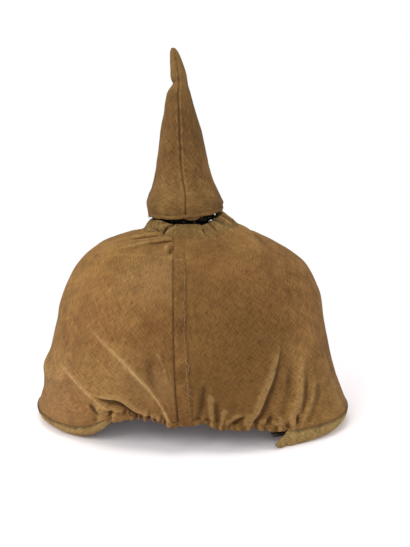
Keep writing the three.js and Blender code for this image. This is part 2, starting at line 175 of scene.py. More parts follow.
def soften(heights: Array, passes: int) -> Array:
    """Heights on a grid, averaged with their neighbours.

    Args:
        heights: one height for each row and column.
        passes: how many rounds of averaging.

    Returns:
        The softened heights.
    """
    level = heights
    for _ in range(passes):
        padded = np.pad(level, 1, mode="edge")
        sides = padded[:-2, 1:-1] + padded[2:, 1:-1] + padded[1:-1, :-2] + padded[1:-1, 2:]
        level = (level + sides) / 5
    return level


# ----------------------------------------------------------- the cover's form


class FoldKind(Enum):
    """How a fold's height falls away from its line."""

    SOFT = "soft"
    CREST = "crest"
    LAP = "lap"


@dataclass(frozen=True)
class Fold:
    """One fold of the cover, drawn as a smooth line over it.

    path holds the line's points as (angle, rise). lift is the height in
    millimetres, below nought for a valley, and width the distance over which it
    fades. A lap drops at once on its lower side, which is to the right of the
    line, or to the left with a width below nought. The last field is how much
    lighter the cloth is along the line, partly rubbed and partly painted
    highlight. fade_in and fade_out are the shares of the line over which the fold
    comes and goes.
    """

    path: tuple[tuple[float, float], ...]
    lift: float
    width: float
    kind: FoldKind = FoldKind.SOFT
    fade_in: float = 0.3
    fade_out: float = 0.0
    wear_and_highlight: float = 0.0

    CREST_TOP = 0.5  # how much a crest is rounded, in square millimetres
    CREST_LEVEL = 0.7  # taken off, so that a crest has its lift on the line
    CREST_FALL = 1.3  # how fast its sides fall
    LAP_DROP = 1.7  # the distance over which a lap drops
    LAP_SINK = 0.45  # how far it sinks past the drop, as a share of its lift
    # the lighter line along a fold is partly rubbed cloth and partly painted highlight
    RUB_AND_HIGHLIGHT_WIDTH = 0.8  # half width of the rubbed line, in millimetres

    def fade(self, along: Array) -> Array:
        """How much of the fold stands.

        Args:
            along: share of the line's length passed.

        Returns:
            Shares from 0 to 1.
        """
        made = np.ones_like(along)
        if self.fade_in:
            made = made * ease(along / self.fade_in)
        if self.fade_out:
            made = made * ease((1 - along) / self.fade_out)
        return made

    def height(self, distance: Array, along: Array) -> Array:
        """The fold's height at signed distances from its line.

        Args:
            distance: millimetres to the left of the line.
            along: share of the line's length passed.

        Returns:
            Heights in millimetres.
        """
        width = abs(self.width)
        away = distance * math.copysign(1.0, self.width)
        if self.kind is FoldKind.CREST:
            below = np.sqrt(away**2 + self.CREST_TOP) - self.CREST_LEVEL
            shape = np.exp(-below / width * self.CREST_FALL)
        elif self.kind is FoldKind.LAP:
            drop = (1 + self.LAP_SINK) * bell(away, self.LAP_DROP) - self.LAP_SINK
            shape = np.where(away > 0, bell(away, width), drop * bell(away, 1.2 * width))
        else:
            shape = bell(away, width)
        return self.lift * shape * self.fade(along)

    def rubbed(self, distance: Array, along: Array) -> Array:
        """How much lighter the cloth is along the fold's line, from 0 to 1, partly rubbed and partly painted
        highlight.
        """
        return self.wear_and_highlight * bell(distance, self.RUB_AND_HIGHLIGHT_WIDTH) * self.fade(along)


COVER_SECTIONS = table(
    # heights at the front and rear and at the sides, then reach to rear, front, side
    (9.5, 26.5, 130.5, 130.5, 90.5),
    (18, 35, 127.5, 127.5, 92),
    (33, 48, 124.5, 122, 92.8),
    (54, 62, 119.5, 115.5, 92.8),
    (80, 82, 112, 110, 90.5),
    (106, 104, 105, 105.5, 85),
    (130, 124, 92.5, 92.5, 73),
    (145, 140, 76.5, 72, 57),
    (153, 150, 56.5, 52, 44),
    (157, 155, 39, 34, 33),
)

SEAM_LINE = table(
    # the seam's rear edge and front edge on X, at even steps of rise
    (-8.0, 1.6),
    (-9.8, 0.2),
    (-11.2, -2.2),
    (-11.9, -3.2),
    (-12.6, -3.9),
    (-12.9, -4.4),
)

EDGE_CLIMB = table(
    # angle from the front, share of the climb from the visors to the ear hem
    (0, 0.02),
    (14, 0.06),
    (43, 0.07),
    (46.5, 0.14),
    (49, 0.27),
    (54, 0.39),
    (62, 0.5),
    (76, 0.64),
    (83, 0.78),
    (90, 0.73),
    (96, 0.75),
    (101, 0.9),
    (108, 0.93),
    (117, 0.87),
    (124, 0.82),
    (128, 0.68),
    (132, 0.44),
    (138, 0.13),
    (143, -0.01),
    (155, -0.08),
    (166, -0.02),
    (180, 0),
)

LAP = FoldKind.LAP
CREST = FoldKind.CREST

# The rows of the next three tables give a fold's path, lift, width, kind, fades and lighter line, partly
# rubbed and partly painted highlight.
REAR_FOLDS = [
    # the diagonal drape from the rear down to the foot of the side seam
    Fold(
        ((-152, 0.54), (-135, 0.465), (-120, 0.38), (-111, 0.285), (-105, 0.18), (-98, 0.02)),
        3.6, 9, CREST, 0.5, wear_and_highlight=0.6,
    ),
    Fold(((-109, 0.42), (-107.5, 0.29), (-102.5, 0.13)), -2.0, 5),
    Fold(((-107, 0.43), (-103.5, 0.39), (-101, 0.33), (-99, 0.22)), 1.1, 3, CREST, fade_out=0.3),
    # the ridge that runs down to the rear visor's corner
    Fold(((-156, 0.35), (-147, 0.316), (-137, 0.245), (-129, 0.14), (-123, 0.02)), 2.0, 6, CREST, wear_and_highlight=0.45),
    Fold(((-149, 0.25), (-140, 0.18), (-134, 0.08)), -0.9, 6),
    # the pouch over the rear visor's corner, and the gathers under it
    Fold(
        ((-136, 0.25), (-128, 0.198), (-121, 0.172), (-114, 0.09), (-106, 0.055), (-98.5, 0.01)),
        3.4, 9, LAP, wear_and_highlight=0.45,
    ),
    Fold(((-129, 0.17), (-122, 0.14), (-116, 0.07), (-109, 0.03)), -2.4, 4.5, fade_out=0.2),
    Fold(((-137, 0.2), (-133, 0.12)), -2.0, 1.8, fade_in=0.5, fade_out=0.4),
    Fold(((-134.5, 0.15), (-130, 0.08)), -2.0, 1.6, fade_in=0.5, fade_out=0.4),
    Fold(((-131.5, 0.17), (-131, 0.05)), 2.2, 2.6),
    Fold(((-126.5, 0.12), (-127, 0.02)), -3.4, 1.5, fade_in=0.4),
    Fold(((-129.5, 0.13), (-125, 0.075), (-121.5, 0.07)), -2.0, 1.4, fade_in=0.4, fade_out=0.3),
    Fold(((-120.5, 0.11), (-120, 0.01)), -2.6, 1.3, fade_in=0.5),
    Fold(((-115.5, 0.08), (-114.5, 0.0)), -2.4, 1.2, fade_in=0.5),
    Fold(((-124, 0.09), (-124.5, 0.0)), 2.2, 2),
    # round the rear above the visor
    Fold(((-146, 0.3), (-162, 0.295), (-180, 0.29)), 2.6, 8),
    Fold(((-150, 0.16), (-165, 0.17), (-180, 0.18)), -1.0, 8),
]

FRONT_FOLDS = [
    # the long drape of the front panel
    Fold(
        ((-46, 0.48), (-50.5, 0.37), (-56.5, 0.24), (-60.5, 0.13), (-64.5, 0.01)),
        3.2, -11, LAP, 0.5, wear_and_highlight=0.2,
    ),
    Fold(((-60, 0.14), (-62.5, 0.06), (-64, 0.0)), -1.6, 1.8),
    Fold(((-42, 0.42), (-45, 0.28), (-49, 0.17), (-52, 0.1)), -1.5, 5),
    Fold(((-35, 0.43), (-39.5, 0.28), (-42, 0.19), (-47, 0.09)), 1.5, 3.8, fade_in=0.45),
    Fold(((-32, 0.4), (-36, 0.27), (-40.5, 0.15)), -0.8, 3.2, fade_in=0.45),
    Fold(((-29, 0.33), (-34.5, 0.216), (-39.5, 0.14), (-42, 0.06)), 1.1, 3, CREST),
    Fold(((-27, 0.28), (-32.5, 0.19), (-38, 0.1)), -0.8, 4),
    Fold(((-17, 0.38), (-12, 0.29), (-8, 0.18)), -1.2, 7, fade_out=0.5),
    # the gathers between the side seam and the drape
    Fold(((-83.5, 0.3), (-84.5, 0.18), (-86.5, 0.06)), -2.0, 3.2),
    Fold(((-87.5, 0.06), (-84.5, 0.03), (-81.5, 0.075)), -1.8, 1.4, fade_out=0.3),
    Fold(((-81, 0.23), (-80, 0.13), (-80, 0.02)), 1.8, 3.2),
    Fold(((-79, 0.2), (-77.5, 0.07)), -1.4, 2.4),
    Fold(((-73.5, 0.17), (-75.5, 0.09), (-77, 0.0)), 1.9, 3.6),
    Fold(((-65.5, 0.13), (-70, 0.1), (-73.3, 0.045), (-74.5, 0.0)), 2.7, -5, LAP),
    Fold(((-64, 0.15), (-67, 0.01)), 1.4, 3),
    Fold(((-69, 0.07), (-70.5, 0.0)), 0.9, 2),
    Fold(((-58, 0.11), (-58.8, 0.0)), 2.0, 3),
    Fold(((-53.5, 0.15), (-56.5, 0.02)), -2.2, 1.6, fade_in=0.6, fade_out=0.25),
    Fold(((-55, 0.08), (-55, 0.0)), 1.2, 1.2),
    Fold(((-50.5, 0.15), (-52, 0.01)), 1.7, 3.4),
    Fold(((-47.5, 0.12), (-47.5, 0.01)), -1.6, 1.4),
    Fold(((-43, 0.17), (-43.7, 0.07)), -2.3, 1.4, fade_in=0.5, fade_out=0.5),
    Fold(((-45.5, 0.12), (-45.5, 0.04)), 1.2, 1.8),
]

CROWN_FOLDS = [
    # the deep tucks from the neck over the rear shoulder
    Fold(
        ((-112, 1.02), (-124, 1.005), (-134, 0.98), (-143, 0.95), (-154, 0.875), (-170, 0.81)),
        1.7, -5, LAP, 0, 0.4,
    ),
    Fold(
        ((-115, 0.995), (-125, 0.98), (-135, 0.955), (-146, 0.91), (-158, 0.86)),
        -5.2, 2.2, fade_in=0, fade_out=0.6,
    ),
    Fold(
        ((-110.5, 0.935), (-120, 0.906), (-131, 0.872), (-143, 0.815), (-156, 0.75)),
        1.3, -3, LAP, 0.05, 0.5,
    ),
    Fold(((-110.5, 0.925), (-120, 0.896), (-132, 0.862)), -1.6, 1.3, fade_in=0.1, fade_out=0.5),
    Fold(((-113.5, 0.9), (-110.5, 0.795)), 1.6, 2.6, fade_in=0.5, fade_out=0.5),
    Fold(((-108.5, 0.9), (-107, 0.795)), -2.2, 1.8, fade_in=0.5, fade_out=0.4),
    Fold(
        ((-93, 0.79), (-108, 0.792), (-123, 0.788), (-142, 0.767), (-162, 0.69)),
        0.35, -4, LAP, 0.0, 0.4, 0.12,
    ),
    # the dip round the rear of the collar
    Fold(((-180, 0.96), (-155, 0.958), (-130, 0.953)), -1.2, 6, fade_in=0, fade_out=0.4),
    # over the front shoulder
    Fold(((-52, 0.985), (-25, 0.975), (0, 0.965)), 4.0, 13),
    Fold(((0, 1.0), (-5, 0.93), (-18, 0.85), (-32, 0.76)), -2.4, 5, fade_in=0, fade_out=0.6),
    Fold(((-16, 1.0), (-24, 0.9), (-38, 0.78)), 1.4, 6, fade_in=0, fade_out=0.6),
    Fold(((-62, 0.9), (-30, 0.89), (0, 0.88)), 1.5, 13),
    Fold(((-76, 0.975), (-66, 0.965), (-55, 0.925)), -1.5, 2.4, fade_in=0.15, fade_out=0.5),
]


@dataclass
class CoverForm:
    """The crown cover as a surface over angle and rise, hem to neck."""

    sections: Array = field(default_factory=lambda: COVER_SECTIONS)
    climb: Array = field(default_factory=lambda: EDGE_CLIMB)
    folds: list[Fold] = field(default_factory=lambda: REAR_FOLDS + FRONT_FOLDS + CROWN_FOLDS)
    hem_rise: float = 0.03
    neck_rise: float = 0.99
    travel: float = 190.0  # millimetres of cloth from rise 0 to rise 1
    front_power: float = 2.4  # how square the lower edge is in front
    rear_power: float = 2.02
    crown_power: float = 2.08
    ear_span: tuple[float, float] = (-121.0, -50.0)  # degrees that the ear's gathers take up
    neck_span: tuple[float, float] = (-179.0, -1.0)  # and the neck's
    flat_at_ear: tuple[float, float] = (-100.0, -87.0)  # degrees over which the ear's are slight
    flat_at_neck: tuple[float, float] = (-105.0, -78.0)  # and the neck's
    seam_calm: float = 5.5  # degrees beside a side seam over which the folds die away
    left_calm: float = 0.25  # how much shallower the left side's folds are
    broad_ripples: tuple[tuple[float, float, int], ...] = ((0.55, 60, 3), (0.16, 17, 4))

    def __post_init__(self) -> None:
        """Adds the small gathers at the ear hems and the neck."""
        self.folds += self._ear_puckers() + self._neck_puckers()

    def _ear_puckers(self) -> list[Fold]:
        """Short upright gathers along the ear hem, each with a slit beside it.

        Returns:
            Their folds, from the rear visor's corner to the front visor's.
        """
        draw = np.random.default_rng(7)
        made = []
        angle, last = self.ear_span
        flat_from, flat_to = self.flat_at_ear
        foot = -0.02
        while angle < last:
            width = draw.uniform(1.0, 1.7)
            reach = draw.uniform(0.04, 0.085)
            lean = draw.uniform(-1.5, 1.5) - 0.04 * (angle + 90)
            lift = draw.uniform(0.7, 1.6) * (2.0 if angle < flat_from else 0.85)
            if flat_from < angle < flat_to:
                lift *= 0.2
            made.append(Fold(((angle + lean, reach + 0.02), (angle, foot)), lift, width, fade_in=0.6))
            step = width * draw.uniform(1.7, 2.9)
            slit = angle + step / 2
            top = 1.5 * reach + 0.02
            made.append(Fold(((slit + lean, top), (slit, foot)), -1.1 * lift, 1.0, fade_in=0.75))
            angle += step
        return made

    def _neck_puckers(self) -> list[Fold]:
        """Short gathers that run out from the neck casing.

        Returns:
            Their folds, from the rear round to the front.
        """
        draw = np.random.default_rng(11)
        made = []
        angle, last = self.neck_span
        flat_from, flat_to = self.flat_at_neck
        while angle < last:
            width = draw.uniform(1.1, 2.2)
            low = 0.95 - draw.uniform(0.04, 0.13)
            lift = draw.uniform(0.3, 0.9) * (0.35 if flat_from < angle < flat_to else 1.0)
            path = ((angle, 1.01), (angle + draw.uniform(-5, 5), low))
            made.append(Fold(path, lift, width, fade_in=0, fade_out=0.7))
            angle += width * draw.uniform(3.5, 6.5)
        return made

    def base(self, angle: Array, rise: Array) -> Array:
        """The cover without its folds.

        Args:
            angle: degrees round from the front.
            rise: from 0 at the hem to 1 at the neck.

        Returns:
            Points in millimetres.
        """
        fore_z, side_z, rear, front, half = columns(self.sections, rise)
        along, across = np.cos(np.radians(angle)), np.sin(np.radians(angle))
        hem_power = np.where(along >= 0, self.front_power, self.rear_power)
        power = mix(hem_power, self.crown_power, ease(rise / 0.4))
        reach = np.where(along >= 0, front, rear)
        radius = (np.abs(along / reach) ** power + np.abs(across / half) ** power) ** (-1 / power)
        edge_climb = read(self.climb, np.abs(turned(angle)))
        climb = mix(edge_climb, across**2, ease(rise / 0.45))
        return np.stack([radius * along, radius * across, mix(fore_z, side_z, climb)], -1)

    def normal(self, angle: Array, rise: Array) -> Array:
        """Outward unit normals of the cover without its folds.

        Args:
            angle: degrees round from the front.
            rise: from 0 at the hem to 1 at the neck.

        Returns:
            One vector for each place.
        """
        turn, step = 0.4, 0.004
        up = self.base(angle, np.minimum(rise + step, 1)) - self.base(angle, np.maximum(rise - step, 0))
        round_ = self.base(angle + turn, rise) - self.base(angle - turn, rise)
        cross = np.cross(round_, up)
        return cross / np.linalg.norm(cross, axis=-1, keepdims=True)

    def lifted(self, angle: Array, rise: Array, height: Array) -> Array:
        """The cover without its folds, raised by heights in millimetres."""
        return self.base(angle, rise) + self.normal(angle, rise) * height[..., None]

    def surface(self, angle: Array, rise: Array, offset: Array | float = 0.0) -> Array:
        """The cover with its folds, pushed outwards by an offset in millimetres."""
        return self.lifted(angle, rise, self.folded(angle, rise)[0] + offset)

    def folded(self, angle: Array, rise: Array) -> tuple[Array, Array]:
        """The folds, seams and broad unevenness of the cover.

        Args:
            angle: degrees round from the front.
            rise: from 0 at the hem to 1 at the neck.

        Returns:
            The summed height in millimetres, and how much lighter the cloth is along the folds, partly
            rubbed and partly painted highlight.
        """
        turn = turned(angle)
        own = -np.abs(turn)
        centre = self.base(own, rise)
        scale = np.hypot(centre[..., 0], centre[..., 1]) * math.radians(1)
        height = np.zeros_like(own)
        wear_and_highlight = np.zeros_like(own)
        for fold in self.folds:
            near, distance, along = self._near(fold, own, rise, scale)
            height[near] += fold.height(distance, along)
            if fold.wear_and_highlight:
                wear_and_highlight[near] = np.maximum(wear_and_highlight[near], fold.rubbed(distance, along))
        calm_seam = mix(0.15, 1.0, ease(np.abs(own - self.seam_middle(rise)) / self.seam_calm))
        calm_left = 1 - self.left_calm * ease(2 * np.sin(np.radians(turn)))
        point = self.base(angle, rise)
        broad = crumple(point, *self.broad_ripples) * ease(rise / 0.1)
        return height * calm_left * calm_seam + broad + self._seam_tuck(point, rise), wear_and_highlight * calm_left

    def _seam_tuck(self, point: Array, rise: Array) -> Array:
        """How the panels sink along both edges of a side seam.

        Args:
            point: places on the cover.
            rise: from 0 at the hem to 1 at the neck.

        Returns:
            Heights in millimetres, below nought.
        """
        rear_x, front_x = columns(SEAM_LINE, rise)
        rear = -1.0 * bell(point[..., 0] - rear_x + 0.6, 0.85)
        front = -0.2 * bell(point[..., 0] - front_x - 1.0, 1.0)
        return rear + front * ease((0.8 - rise) / 0.03)

    def _near(self, fold: Fold, own: Array, rise: Array, scale: Array) -> tuple[Array, Array, Array]:
        """The points that lie near a fold's line.

        Args:
            fold: the fold.
            own: angles on the right side.
            rise: from 0 at the hem to 1 at the neck.
            scale: millimetres to the degree at each point.

        Returns:
            Which points are near, how far to the line's left they lie, and how far
            along it.
        """
        pieces = 3 * (len(fold.path) - 1) if len(fold.path) > 2 else 1
        line_angle, line_rise = columns(table(*fold.path), np.linspace(0, 1, pieces + 1))
        reach = 3 * abs(fold.width) + 3
        spare_angle = reach / np.maximum(scale, 0.4)
        spare_rise = reach / self.travel
        near = (own > line_angle.min() - spare_angle) & (own < line_angle.max() + spare_angle)
        near &= (rise > line_rise.min() - spare_rise) & (rise < line_rise.max() + spare_rise)
        if not near.any():
            return near, np.zeros(0), np.zeros(0)
        on_angle, on_rise = scale[near][:, None], self.travel
        across, up = own[near][:, None] * on_angle, rise[near][:, None] * on_rise
        start_a, end_a = line_angle[None, :-1] * on_angle, line_angle[None, 1:] * on_angle
        start_b, end_b = line_rise[None, :-1] * on_rise, line_rise[None, 1:] * on_rise
        run_a, run_b = end_a - start_a, end_b - start_b
        length = np.maximum(run_a**2 + run_b**2, 1e-9)
        share_on = np.clip(((across - start_a) * run_a + (up - start_b) * run_b) / length, 0, 1)
        off_a = across - start_a - share_on * run_a
        off_b = up - start_b - share_on * run_b
        distance = np.hypot(off_a, off_b)
        best = distance.argmin(axis=1)
        row = np.arange(len(best))
        side = np.sign(run_a * off_b - run_b * off_a)[row, best]
        return near, distance[row, best] * side, (best + share_on[row, best]) / pieces

    def angle_at_x(self, x: Array | float, rise: Array) -> Array:
        """The angle at which the right side of the cover passes an X."""
        half = columns(self.sections, rise)[4]
        return -90 + np.degrees(np.arcsin(x / np.hypot(x, half)))

    def seam_middle(self, rise: Array) -> Array:
        """The angle of the right side seam's middle at each rise."""
        return self.angle_at_x(sum(columns(SEAM_LINE, rise)) / 2, rise)


# ------------------------------------------------------------- mesh making


def deselect() -> None:
    """Leaves nothing selected, so that an operator acts on one piece."""
    for item in bpy.context.selected_objects:
        item.select_set(False)


def choose(piece: bpy.types.Object) -> None:
    """Makes a piece the only one selected and the active one."""
    deselect()
    piece.select_set(True)
    bpy.context.view_layer.objects.active = piece


def add_grid(name: str, across: int, up: int) -> tuple[bpy.types.Object, Array, Array]:
    """A flat grid ready to be shaped.

    Args:
        name: the piece's name.
        across: faces across.
        up: faces up.

    Returns:
        The object, and each vertex's place across and up, from 0 to 1.
    """
    deselect()
    bpy.ops.mesh.primitive_grid_add(x_subdivisions=across, y_subdivisions=up, size=1)
    piece = bpy.context.object
    piece.name = name
    piece.data.name = name
    flat = np.empty(len(piece.data.vertices) * 3)
    piece.data.vertices.foreach_get("co", flat)
    flat = flat.reshape(-1, 3)
    return piece, flat[:, 0] + 0.5, flat[:, 1] + 0.5


def place_points(piece: bpy.types.Object, points: Array) -> None:
    """Moves a piece's vertices to points in millimetres."""
    piece.data.vertices.foreach_set("co", (points * MM).astype(np.float32).ravel())
    piece.data.update()


def scale_weave(piece: bpy.types.Object, laid: tuple[float, float]) -> None:
    """Scales a piece's own map, so that the weave lies true.

    Args:
        piece: a grid that still has its first map.
        laid: width and length of the cloth on the map, in millimetres.
    """
    layer = piece.data.uv_layers[0].uv
    flat = np.empty(len(layer) * 2, np.float32)
    layer.foreach_get("vector", flat)
    size = np.array([laid[0] * MM, laid[1] * MM], np.float32)
    layer.foreach_set("vector", (flat.reshape(-1, 2) * size).ravel())


def store(piece: bpy.types.Object, name: str, values: Array) -> None:
    """Keeps one number for each vertex as an attribute that finishes can read."""
    layer = piece.data.attributes.new(name, "FLOAT", "POINT")
    layer.data.foreach_set("value", values.astype(np.float32).ravel())


def close_loop(piece: bpy.types.Object, distance: float = 0.02) -> None:
    """Merges the first and last columns of a grid that was bent into a ring."""
    choose(piece)
    bpy.ops.object.mode_set(mode="EDIT")
    bpy.ops.mesh.select_all(action="SELECT")
    bpy.ops.mesh.remove_doubles(threshold=distance * MM)
    bpy.ops.object.mode_set(mode="OBJECT")


def thicken(piece: bpy.types.Object, thickness: float, crease: float = 50) -> None:
    """Gives a sheet its wall and shades it smooth.

    Args:
        piece: the sheet.
        thickness: of the wall, in millimetres, inwards.
        crease: degrees past which an edge stays sharp.
    """
    choose(piece)
    modifier = piece.modifiers.new("Solidify", "SOLIDIFY")
    modifier.thickness = thickness * MM
    modifier.offset = -1.0
    modifier.use_rim = True
    bpy.ops.object.modifier_apply(modifier=modifier.name)
    bpy.ops.object.shade_smooth_by_angle(angle=math.radians(crease))


def thread_mesh(name: str, paths: Sequence[Array], radius: float) -> bpy.types.Object:
    """Many short threads joined in one mesh.

    Args:
        name: the piece's name.
        paths: one array of points in millimetres for each thread.
        radius: the thread's radius in millimetres.

    Returns:
        The mesh object.
    """
    curve = bpy.data.curves.new(name, "CURVE")
    curve.dimensions = "3D"
    curve.bevel_depth = radius * MM
    curve.bevel_resolution = 2
    curve.use_fill_caps = True
    for path in paths:
        line = curve.splines.new("POLY")
        line.points.add(len(path) - 1)
        flat = np.concatenate([path * MM, np.ones((len(path), 1))], axis=1)
        line.points.foreach_set("co", flat.ravel())
    piece = bpy.data.objects.new(name, curve)
    bpy.context.scene.collection.objects.link(piece)
    choose(piece)
    bpy.ops.object.convert(target="MESH")
    return bpy.context.object


def cloth_sheet(
    name: str,
    surface: Surface,
    faces: tuple[int, int],
    thickness: float,
    laid: tuple[float, float],
    loop: bool = False,
) -> bpy.types.Object:
    """A sheet of cloth with a real thickness, shaped by a surface.

    Args:
        name: the piece's name.
        surface: gives points, heights and any lighter lines, partly rubbed and partly painted highlight,
            from places across and up.
        faces: how many across and up.
        thickness: of the cloth, in millimetres, inwards from the surface.
        laid: width and length of the cloth on the weave's map, in millimetres.
        loop: whether the last column meets the first.

    Returns:
        The object, with its relief and lighter lines stored for the finishes, which paint shade in its
        hollows and highlight on its crests.
    """
    piece, across, up = add_grid(name, *faces)
    points, heights, *wear_and_highlight = surface(across, up)
    place_points(piece, points)
    scale_weave(piece, laid)
    # The relief, each height less its softened neighbours, is what the finishes darken into painted shade in
    # hollows and lighten into painted highlight on crests.
    order = np.lexsort((across.round(6), up.round(6)))
    grid = heights[order].reshape(faces[1] + 1, faces[0] + 1)
    relief = np.empty_like(heights)
    relief[order] = (grid - soften(grid, 24)).ravel()
    store(piece, "relief", relief)
    store(piece, "wear_and_highlight", wear_and_highlight[0] if wear_and_highlight else np.zeros_like(heights))
    if loop:
        close_loop(piece)
    thicken(piece, thickness)
    return piece


# ----------------------------------------------------------------- finishes


class Value:
    """A number in a shader that takes Python's arithmetic."""

    def __init__(self, recipe: "Recipe", socket: bpy.types.NodeSocket) -> None:
        """Wraps an output socket of a recipe's node."""
        self.recipe = recipe
        self.socket = socket

    def _maths(self, operation: str, *operands: Any) -> "Value":
        """A Math node of one or two operands."""
        inputs = dict(enumerate(operands))
        return self.recipe.value("ShaderNodeMath", {"operation": operation}, inputs)

    def __add__(self, other: Any) -> "Value":
        """self + other."""
        return self._maths("ADD", self, other)

    def __radd__(self, other: Any) -> "Value":
        """other + self."""
        return self._maths("ADD", other, self)

    def __sub__(self, other: Any) -> "Value":
        """self - other."""
        return self._maths("SUBTRACT", self, other)

    def __rsub__(self, other: Any) -> "Value":
        """other - self."""
        return self._maths("SUBTRACT", other, self)

    def __mul__(self, other: Any) -> "Value":
        """self * other."""
        return self._maths("MULTIPLY", self, other)

    def __rmul__(self, other: Any) -> "Value":
        """other * self."""
        return self._maths("MULTIPLY", other, self)

    def sine(self) -> "Value":
        """The sine of a value in radians."""
        return self._maths("SINE", self)

    def between(self, low: float, high: float) -> "Value":
        """The smooth share, from 0 to 1, of the way from low to high."""
        settings = {"interpolation_type": "SMOOTHSTEP"}
        return self.recipe.value("ShaderNodeMapRange", settings, {0: self, 1: low, 2: high})


class Recipe:
    """A material and the nodes that make its finish."""

    def __init__(self, name: str) -> None:
        """Starts a material with one principled shader."""
        self.material = bpy.data.materials.new(name)
        self.material.use_nodes = True
        self.tree = self.material.node_tree
        self.shader = self.tree.nodes["Principled BSDF"]

    def node(
        self, kind: str, settings: dict[str, Any] | None = None, inputs: dict[Any, Any] | None = None
    ) -> bpy.types.Node:
        """Adds a node.

        Args:
            kind: the node's type.
            settings: its properties, set before its sockets.
            inputs: socket names or numbers, and their numbers, colours or links.

        Returns:
            The node.
        """
        made = self.tree.nodes.new(kind)
        for key, setting in (settings or {}).items():
            setattr(made, key, setting)
        for key, given in (inputs or {}).items():
            self.feed(made.inputs[key], given)
        return made

    def feed(self, socket: bpy.types.NodeSocket, given: Any) -> None:
        """Links a value or socket to an input, or sets its number.

        Args:
            socket: the input.
            given: a value, an output socket, or a plain number or colour.
        """
        if isinstance(given, Value):
            given = given.socket
        if isinstance(given, bpy.types.NodeSocket):
            self.tree.links.new(given, socket)
        else:
            socket.default_value = given

    def value(self, kind: str, settings: dict[str, Any], inputs: dict[Any, Any], output: int = 0) -> Value:
        """One number from a new node."""
        return Value(self, self.node(kind, settings, inputs).outputs[output])

    def attribute(self, name: str) -> Value:
        """A number kept on the mesh."""
        return self.value("ShaderNodeAttribute", {"attribute_name": name}, {}, output=2)

    def place(self) -> bpy.types.NodeSocket:
        """The point in the object's own space, in metres."""
        return self.node("ShaderNodeTexCoord").outputs["Object"]

    def noise(self, point: Any, scale: float, detail: float = 2, rough: float = 0.5) -> Value:
        """Soft noise from 0 to 1."""
        inputs = {"Vector": point, "Scale": scale, "Detail": detail, "Roughness": rough}
        return self.value("ShaderNodeTexNoise", {}, inputs)

    def spot(self, point: Any, centre: Sequence[float], radius: float) -> Value:
        """1 at a centre, falling smoothly to 0 at a radius."""
        inputs = {0: point, 1: tuple(centre)}
        apart = self.value("ShaderNodeVectorMath", {"operation": "DISTANCE"}, inputs, output=1)
        return 1 - apart.between(0.0, radius)

    def streaks(self, x: Any, y: Any, detail: float, rough: float) -> Value:
        """Soft noise over a flat place given by two numbers."""
        flat = self.node("ShaderNodeCombineXYZ", {}, {0: x, 1: y, 2: 0.0}).outputs[0]
        return self.noise(flat, 1.0, detail, rough)

    def blend(self, share: Any, start: Any, end: Any, mode: str = "MIX") -> bpy.types.NodeSocket:
        """One colour mixed into another.

        Args:
            share: how much of the end colour shows.
            start: the colour at a share of 0.
            end: the colour at a share of 1.
            mode: how the two are joined.

        Returns:
            The mixed colour's socket.
        """
        settings = {"data_type": "RGBA", "blend_type": mode}
        colours = [(*c, 1.0) if isinstance(c, tuple) else c for c in (start, end)]
        made = self.node("ShaderNodeMix", settings, {0: share, 6: colours[0], 7: colours[1]})
        return made.outputs[2]

    def shade(self, colour: bpy.types.NodeSocket, amount: Value) -> bpy.types.NodeSocket:
        """A colour made lighter or darker by a number."""
        inputs = {0: colour, "Scale": amount}
        return self.node("ShaderNodeVectorMath", {"operation": "SCALE"}, inputs).outputs[0]

    def bump(self, height: Value, depth: float, strength: float) -> None:
        """Raises the surface by a height over a depth in metres."""
        inputs = {"Height": height, "Distance": depth, "Strength": strength}
        self.feed(self.shader.inputs["Normal"], self.node("ShaderNodeBump", {}, inputs).outputs[0])

    def set(self, **sockets: Any) -> None:
        """Sets or links the shader's own sockets, named with underscores."""
        for name, given in sockets.items():
            self.feed(self.shader.inputs[name.replace("_", " ")], given)


@dataclass(frozen=True)
class Stain:
    """A soft dark patch round a point in metres, or a faded one with a depth below nought."""

    centre: tuple[float, float, float]
    radius: float
    depth: float


